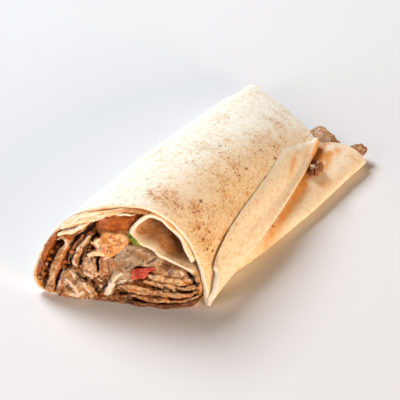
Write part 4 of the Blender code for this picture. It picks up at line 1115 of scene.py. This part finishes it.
def bread_material():
    """Flatbread, rolled thin and toasted on a hot plate: a dry cream bread with a tan tint, fine brown
    speckles where it touched the plate, a few scorched spots, and sauce taken up at folds and cuts. The tan
    is partly painted shade, deeper on the right side of the roll and lightened as painted light on the strip
    and the lobe; the brown is partly painted shade in the pocket, the crease and on the inner walls; and pale
    paint stands for light in the strip's gape and on the pocket's right wall."""
    made, tree, shader = new_material("flatbread_toasted_dry", 0.72, 0.06)
    place = add(tree, "TexCoord").outputs["Object"]
    share = {key: add(tree, "Attribute", attribute_name=key).outputs["Fac"] for key in
             ("stain", "brown", "crumb", "tan", "toast")}
    # tan, partly painted shade on the roll's right side and lightened as painted light on the strip and lobe, broken by
    # a mottle
    mottle = add(tree, "TexNoise", {"Vector": place, "Scale": 380.0, "Detail": 5.0, "Roughness": 0.9})
    tan_mottle = add(tree, "MapRange", {"Value": mottle.outputs["Fac"], "From Min": 0.3, "From Max": 0.7,
                                        "To Min": -0.42, "To Max": 0.42})
    tan = add(tree, "Math", {0: share["tan"], 1: tan_mottle.outputs[0]}, operation="ADD", use_clamp=True)
    colour = add(tree, "Mix", {"Factor": tan.outputs[0], 6: linear("#FCF1DC"), 7: linear("#F1DAAF")},
                 data_type="RGBA").outputs[2]
    # a mealy grain of flour and of toasted meal
    drawn = add(tree, "VectorMath", {0: place, 1: Vector((1.0, 0.6, 1.0))}, operation="MULTIPLY")
    meal = add(tree, "TexNoise", {"Vector": drawn.outputs[0], "Scale": 520.0, "Detail": 4.0, "Roughness": 0.8})
    for low, high, most, code in ((0.51, 0.66, 0.80, "#DFA75C"), (0.48, 0.37, 0.75, "#FFF8EA")):
        mask = add(tree, "MapRange", {"Value": meal.outputs["Fac"], "From Min": low, "From Max": high,
                                      "To Min": 0.0, "To Max": most})
        grown = add(tree, "Math", {0: share["toast"], 1: 0.4, 2: 0.6}, operation="MULTIPLY_ADD")
        mask = add(tree, "Math", {0: mask.outputs[0], 1: grown.outputs[0]}, operation="MULTIPLY", use_clamp=True)
        colour = add(tree, "Mix", {"Factor": mask.outputs[0], 6: colour, 7: linear(code)},
                     data_type="RGBA").outputs[2]
    # freckles: a dot round some of the points of a random lattice, more and larger where it is toasted
    cluster = add(tree, "TexNoise", {"Vector": place, "Scale": 210.0, "Detail": 3.0})
    density = add(tree, "Math", {0: cluster.outputs["Fac"], 1: 1.5, 2: share["toast"]}, operation="MULTIPLY_ADD")
    ragged = add(tree, "TexNoise", {"Vector": place, "Scale": 1500.0, "Detail": 2.0})
    ragged = add(tree, "VectorMath", {0: ragged.outputs["Color"], 1: Vector((0.0006, 0.0006, 0.0006)), 2: place},
                 operation="MULTIPLY_ADD")
    for cell, most_radius, code, most in ((0.9, 0.62, "#D5964E", 0.8), (1.5, 0.50, "#B87333", 0.8),
                                          (2.7, 0.32, "#85502A", 0.85)):
        dots = add(tree, "TexVoronoi", {"Vector": ragged.outputs[0], "Scale": 1000.0 / cell})
        chance = add(tree, "SeparateColor", {"Color": dots.outputs["Color"]}).outputs["Red"]
        radius = add(tree, "Math", {0: density.outputs[0], 1: chance}, operation="ADD")
        radius = add(tree, "MapRange", {"Value": radius.outputs[0], "From Min": 1.45, "From Max": 2.35,
                                        "To Min": 0.0, "To Max": most_radius})
        mask = add(tree, "Math", {0: radius.outputs[0], 1: dots.outputs["Distance"]}, operation="SUBTRACT")
        mask = add(tree, "MapRange", {"Value": mask.outputs[0], "From Min": 0.0, "From Max": 0.22, "To Max": most})
        colour = add(tree, "Mix", {"Factor": mask.outputs[0], 6: colour, 7: linear(code)},
                     data_type="RGBA").outputs[2]
    haze = add(tree, "MapRange", {"Value": share["toast"], "From Min": 0.35, "From Max": 1.2, "To Min": 0.0,
                                  "To Max": 0.5})
    colour = add(tree, "Mix", {"Factor": haze.outputs[0], 6: colour, 7: linear("#D9A063")},
                 data_type="RGBA").outputs[2]
    wobble = add(tree, "TexNoise", {"Vector": place, "Scale": 900.0, "Detail": 2.0})
    for spot, radius in SCORCHED:
        gap = add(tree, "VectorMath", {0: place, 1: Vector(spot) * MM}, operation="DISTANCE")
        gap = add(tree, "Math", {0: wobble.outputs["Fac"], 1: 0.0009, 2: gap.outputs["Value"]},
                  operation="MULTIPLY_ADD")
        mask = add(tree, "MapRange", {"Value": gap.outputs[0], "From Min": (radius * 1.4 + 0.5) * MM,
                                      "From Max": (radius * 0.6 + 0.4) * MM, "To Min": 0.0, "To Max": 0.85})
        colour = add(tree, "Mix", {"Factor": mask.outputs[0], 6: colour, 7: linear("#6E3D1C")},
                     data_type="RGBA").outputs[2]
    # stain is orange sauce taken up by the bread; brown is partly sauce and partly painted shade in the pocket, the
    # crease and on the inner walls; the mottle breaks both up
    soak = add(tree, "MapRange", {"Value": mottle.outputs["Fac"], "From Min": 0.3, "From Max": 0.7,
                                  "To Min": 0.6, "To Max": 1.25})
    for key, code in (("stain", "#F3A84C"), ("brown", "#A46B34")):
        soak_and_shade = add(tree, "Math", {0: share[key], 1: soak.outputs[0]}, operation="MULTIPLY", use_clamp=True)
        colour = add(tree, "Mix", {"Factor": soak_and_shade.outputs[0], 6: colour, 7: linear(code)},
                     data_type="RGBA").outputs[2]
    # pale inner bread at cut edges, and pale paint as painted light in the strip's gape and on the pocket's right wall
    crumb = add(tree, "Math", {0: share["crumb"], 1: 0.85}, operation="MULTIPLY", use_clamp=True)
    colour = add(tree, "Mix", {"Factor": crumb.outputs[0], 6: colour, 7: linear("#FBEFD9")},
                 data_type="RGBA").outputs[2]
    tree.links.new(colour, shader.inputs["Base Color"])
    pores = add(tree, "TexNoise", {"Vector": place, "Scale": 1100.0, "Detail": 5.0, "Roughness": 0.65})
    bump = add(tree, "Bump", {"Height": pores.outputs["Fac"], "Strength": 0.35, "Distance": 0.00022})
    tree.links.new(bump.outputs["Normal"], shader.inputs["Normal"])
    return made


def filling_material(name, shades, oil, sauce, roughness, grain_mm, subsurface, grit=0.0):
    """A moist filling. Four shades from dark to light follow the tone painted on it and a grain; oil, searing
    with painted shade, sauce and the painted shade of gaps are laid over them where they are painted, with
    broken edges. Grit strews grains of oil and of browned meat over it. Sauce and oil are glossier than what
    they lie on."""
    made, tree, shader = new_material(name, roughness, subsurface)
    place = add(tree, "TexCoord").outputs["Object"]
    share = {key: add(tree, "Attribute", attribute_name=key).outputs["Fac"]
             for key in ("tone", "sear_and_shade", "sauce", "oil", "gap")}
    grain = add(tree, "TexNoise", {"Vector": place, "Scale": 1000.0 / grain_mm, "Detail": 4.0, "Roughness": 0.6,
                                   "Distortion": 0.4})
    shade = add(tree, "Math", {0: grain.outputs["Fac"], 1: 1.5, 2: share["tone"]}, operation="MULTIPLY_ADD")
    tone = add(tree, "ValToRGB", {"Fac": add(tree, "Math", {0: shade.outputs[0], 1: 0.75},
                                             operation="SUBTRACT").outputs[0]})
    for stop, code in enumerate(shades):
        if stop > 1:
            tone.color_ramp.elements.new(0.9)
    for stop, (at, code) in enumerate(zip((0.12, 0.38, 0.62, 0.88), shades)):
        tone.color_ramp.elements[stop].position = at
        tone.color_ramp.elements[stop].color = linear(code)
    colour = tone.outputs["Color"]
    broken = add(tree, "TexNoise", {"Vector": place, "Scale": 1300.0, "Detail": 3.0})
    strewn = add(tree, "TexNoise", {"Vector": place, "Scale": 950.0, "Detail": 3.0, "Roughness": 0.7})
    for low, high, code in ((0.54, 0.62, oil), (0.44, 0.37, "#5A2D12")):
        mask = add(tree, "MapRange", {"Value": strewn.outputs["Fac"], "From Min": low, "From Max": high,
                                      "To Min": 0.0, "To Max": grit})
        colour = add(tree, "Mix", {"Factor": mask.outputs[0], 6: colour, 7: linear(code)},
                     data_type="RGBA").outputs[2]
    # oil; sear, a dark brown that is also painted shade on shaded sides and in recesses; sauce; gap, near black,
    # painted shade in the clefts between pieces
    for key, code, most in (("oil", oil, 0.88), ("sear_and_shade", "#55290F", 0.82), ("sauce", sauce, 0.90),
                            ("gap", "#2D140A", 0.92)):
        mixed = add(tree, "Math", {0: broken.outputs["Fac"], 1: 1.3, 2: share[key]}, operation="MULTIPLY_ADD")
        mask = add(tree, "MapRange", {"Value": mixed.outputs[0], "From Min": 0.86, "From Max": 1.44,
                                      "To Min": 0.0, "To Max": most})
        colour = add(tree, "Mix", {"Factor": mask.outputs[0], 6: colour, 7: linear(code)},
                     data_type="RGBA").outputs[2]
    tree.links.new(colour, shader.inputs["Base Color"])
    wet = add(tree, "Math", {0: share["sauce"], 1: share["oil"]}, operation="MAXIMUM")
    rough = add(tree, "MapRange", {"Value": wet.outputs[0], "To Min": roughness, "To Max": 0.28})
    tree.links.new(rough.outputs[0], shader.inputs["Roughness"])
    bump = add(tree, "Bump", {"Height": grain.outputs["Fac"], "Strength": 0.5, "Distance": 0.0003})
    tree.links.new(bump.outputs["Normal"], shader.inputs["Normal"])
    return made


def filling_looks():
    """The materials of the fillings."""
    return {
        # shaved meat: moist tan with darker grain, browned edges, orange fat that has run out of it
        "meat": filling_material("doner_meat_shaved", ("#5A3218", "#9C6C40", "#C69866", "#E6C8A0"), "#B4601C",
                                 "#EBD6BC", 0.46, 1.5, 0.10, 0.55),
        # shredded cabbage with dressing: translucent yellow-cream with pink onion
        "salad": filling_material("cabbage_and_onion_dressed", ("#CC8236", "#DFA05C", "#EABB84", "#F4D8B0"),
                                  "#E57C6C", "#F8E6CB", 0.38, 2.0, 0.25),
        # a slice of onion soaked in chilli oil: orange, clear enough to glow a little
        "onion": filling_material("onion_in_red_oil", ("#74320C", "#A25216", "#BF6E22", "#D38B3C"), "#B2431F",
                                  "#E8B070", 0.32, 3.0, 0.2),
        # thin garlic sauce stained by the meat: grey-beige, satin, thicker and white where it has run together
        "sauce": filling_material("garlic_sauce_thin", ("#866A50", "#A28668", "#C0A484", "#E2CEB2"), "#A66C34",
                                  "#F6E8D2", 0.30, 3.0, 0.25, 0.2),
        # cut tomato: clear red flesh, paler near the skin, wet
        "tomato": filling_material("tomato_flesh_cut", ("#962412", "#AC3620", "#BE4E36", "#D8846C"), "#8F2415",
                                   "#FFE6D8", 0.22, 2.0, 0.3),
    }


def leaf_material():
    """Parsley: matt mid green, paler along the rib, with a dark spot of pepper stuck to it."""
    made, tree, shader = new_material("parsley_fresh", 0.5, 0.15)
    place = add(tree, "TexCoord").outputs["Object"]
    vein = add(tree, "TexNoise", {"Vector": place, "Scale": 1500.0, "Detail": 3.0})
    tone = add(tree, "MapRange", {"Value": vein.outputs["Fac"], "From Min": 0.35, "From Max": 0.65})
    colour = add(tree, "Mix", {"Factor": tone.outputs[0], 6: linear("#4C6A06"), 7: linear("#7A9016")},
                 data_type="RGBA").outputs[2]
    for key, code, most in (("rib", "#A8B43A", 0.2), ("spot", "#33180C", 0.95)):
        share = add(tree, "Attribute", attribute_name=key).outputs["Fac"]
        mask = add(tree, "Math", {0: share, 1: most}, operation="MULTIPLY", use_clamp=True)
        colour = add(tree, "Mix", {"Factor": mask.outputs[0], 6: colour, 7: linear(code)},
                     data_type="RGBA").outputs[2]
    tree.links.new(colour, shader.inputs["Base Color"])
    bump = add(tree, "Bump", {"Height": vein.outputs["Fac"], "Strength": 0.4, "Distance": 0.0002})
    tree.links.new(bump.outputs["Normal"], shader.inputs["Normal"])
    return made


def floor_material():
    """A plain matt pale table top."""
    made, tree, shader = new_material("table_matt_white", 0.9)
    shader.inputs["Base Color"].default_value = linear("#E6E4E3")
    return made


def make_floor():
    """A wide plain floor just under the wrap."""
    size = 3.0
    mesh = bpy.data.meshes.new("floor")
    mesh.from_pydata([(-size, -size, 0.0), (size, -size, 0.0), (size, size, 0.0), (-size, size, 0.0)], [],
                     [(0, 1, 2, 3)])
    mesh.materials.append(floor_material())
    floor = bpy.data.objects.new("floor", mesh)
    bpy.context.scene.collection.objects.link(floor)


# Layers of bread in the roll's top left. Name: CAD node, bulge, roughness, soaked, line of (u, v, thickness)
FLAPS = {
    "flatbread_flap": (("bread_flap_inner",), 0.7, 0.30, 0.3,
                       ((-28.9, 29.4, 1.6), (-26.2, 30.8, 3.0), (-23.4, 31.9, 3.3), (-20.0, 33.6, 2.8),
                        (-16.6, 35.1, 2.4), (-12.0, 36.8, 2.0), (-6.0, 38.1, 1.6), (-1.0, 38.6, 1.0))),
    "flatbread_folded": ((), 0.3, 0.25, 0.8,
                         ((-27.6, 31.8, 0.8), (-24.6, 33.9, 1.7), (-20.0, 36.2, 2.1), (-14.0, 38.2, 2.2),
                          (-7.0, 39.6, 2.0), (0.0, 39.7, 1.6), (3.0, 39.2, 0.8))),
    "flatbread_frayed": ((), 1.6, 0.38, 0.5,
                         ((-29.2, 26.6, 0.8), (-27.2, 27.5, 1.7), (-24.8, 28.0, 2.1), (-22.6, 29.1, 2.3),
                          (-20.6, 30.4, 1.9), (-18.9, 32.2, 0.8))),
}


def make_flaps(look):
    """Layers of bread inside the top left of the roll: pale and torn at the cut, with oil taken up between them; what
    lies behind the cut is painted brown as shade.
    """
    for seed, (name, (nodes, out, rough, soak, line)) in enumerate(FLAPS.items()):
        rings, streaks = slice_rings(line, "late", out, rough, 930 + 10 * seed)
        showing = face_share(rings)
        soak_and_shade = smooth_step(streaks + 0.5 * soak + 0.03 * (rings[..., 0] + 14.0) * soak, 0.0, 0.55)
        # brown: painted shade behind the cut, and oil-brown towards the right
        brown = 0.8 * (1.0 - showing) + 0.8 * soak_and_shade * smooth_step(rings[..., 0], -12.0, -2.0)
        paint = {"stain": 0.7 * soak_and_shade, "brown": brown, "crumb": 0.75 * showing * (1.0 - soak_and_shade),
                 "tan": 0.3 + 0 * showing, "toast": 0 * showing}
        add_piece(name, rings.reshape(-1, 3), loft_faces(*rings.shape[:2]), look, nodes, paint)


def main():
    make_camera()
    make_light()
    make_floor()
    bread = bread_material()
    looks = filling_looks()
    make_bread(bread)
    make_flaps(bread)
    make_fillings(looks)
    make_bits(looks)
    make_leaf(leaf_material())
    make_tips(looks["meat"])


main()
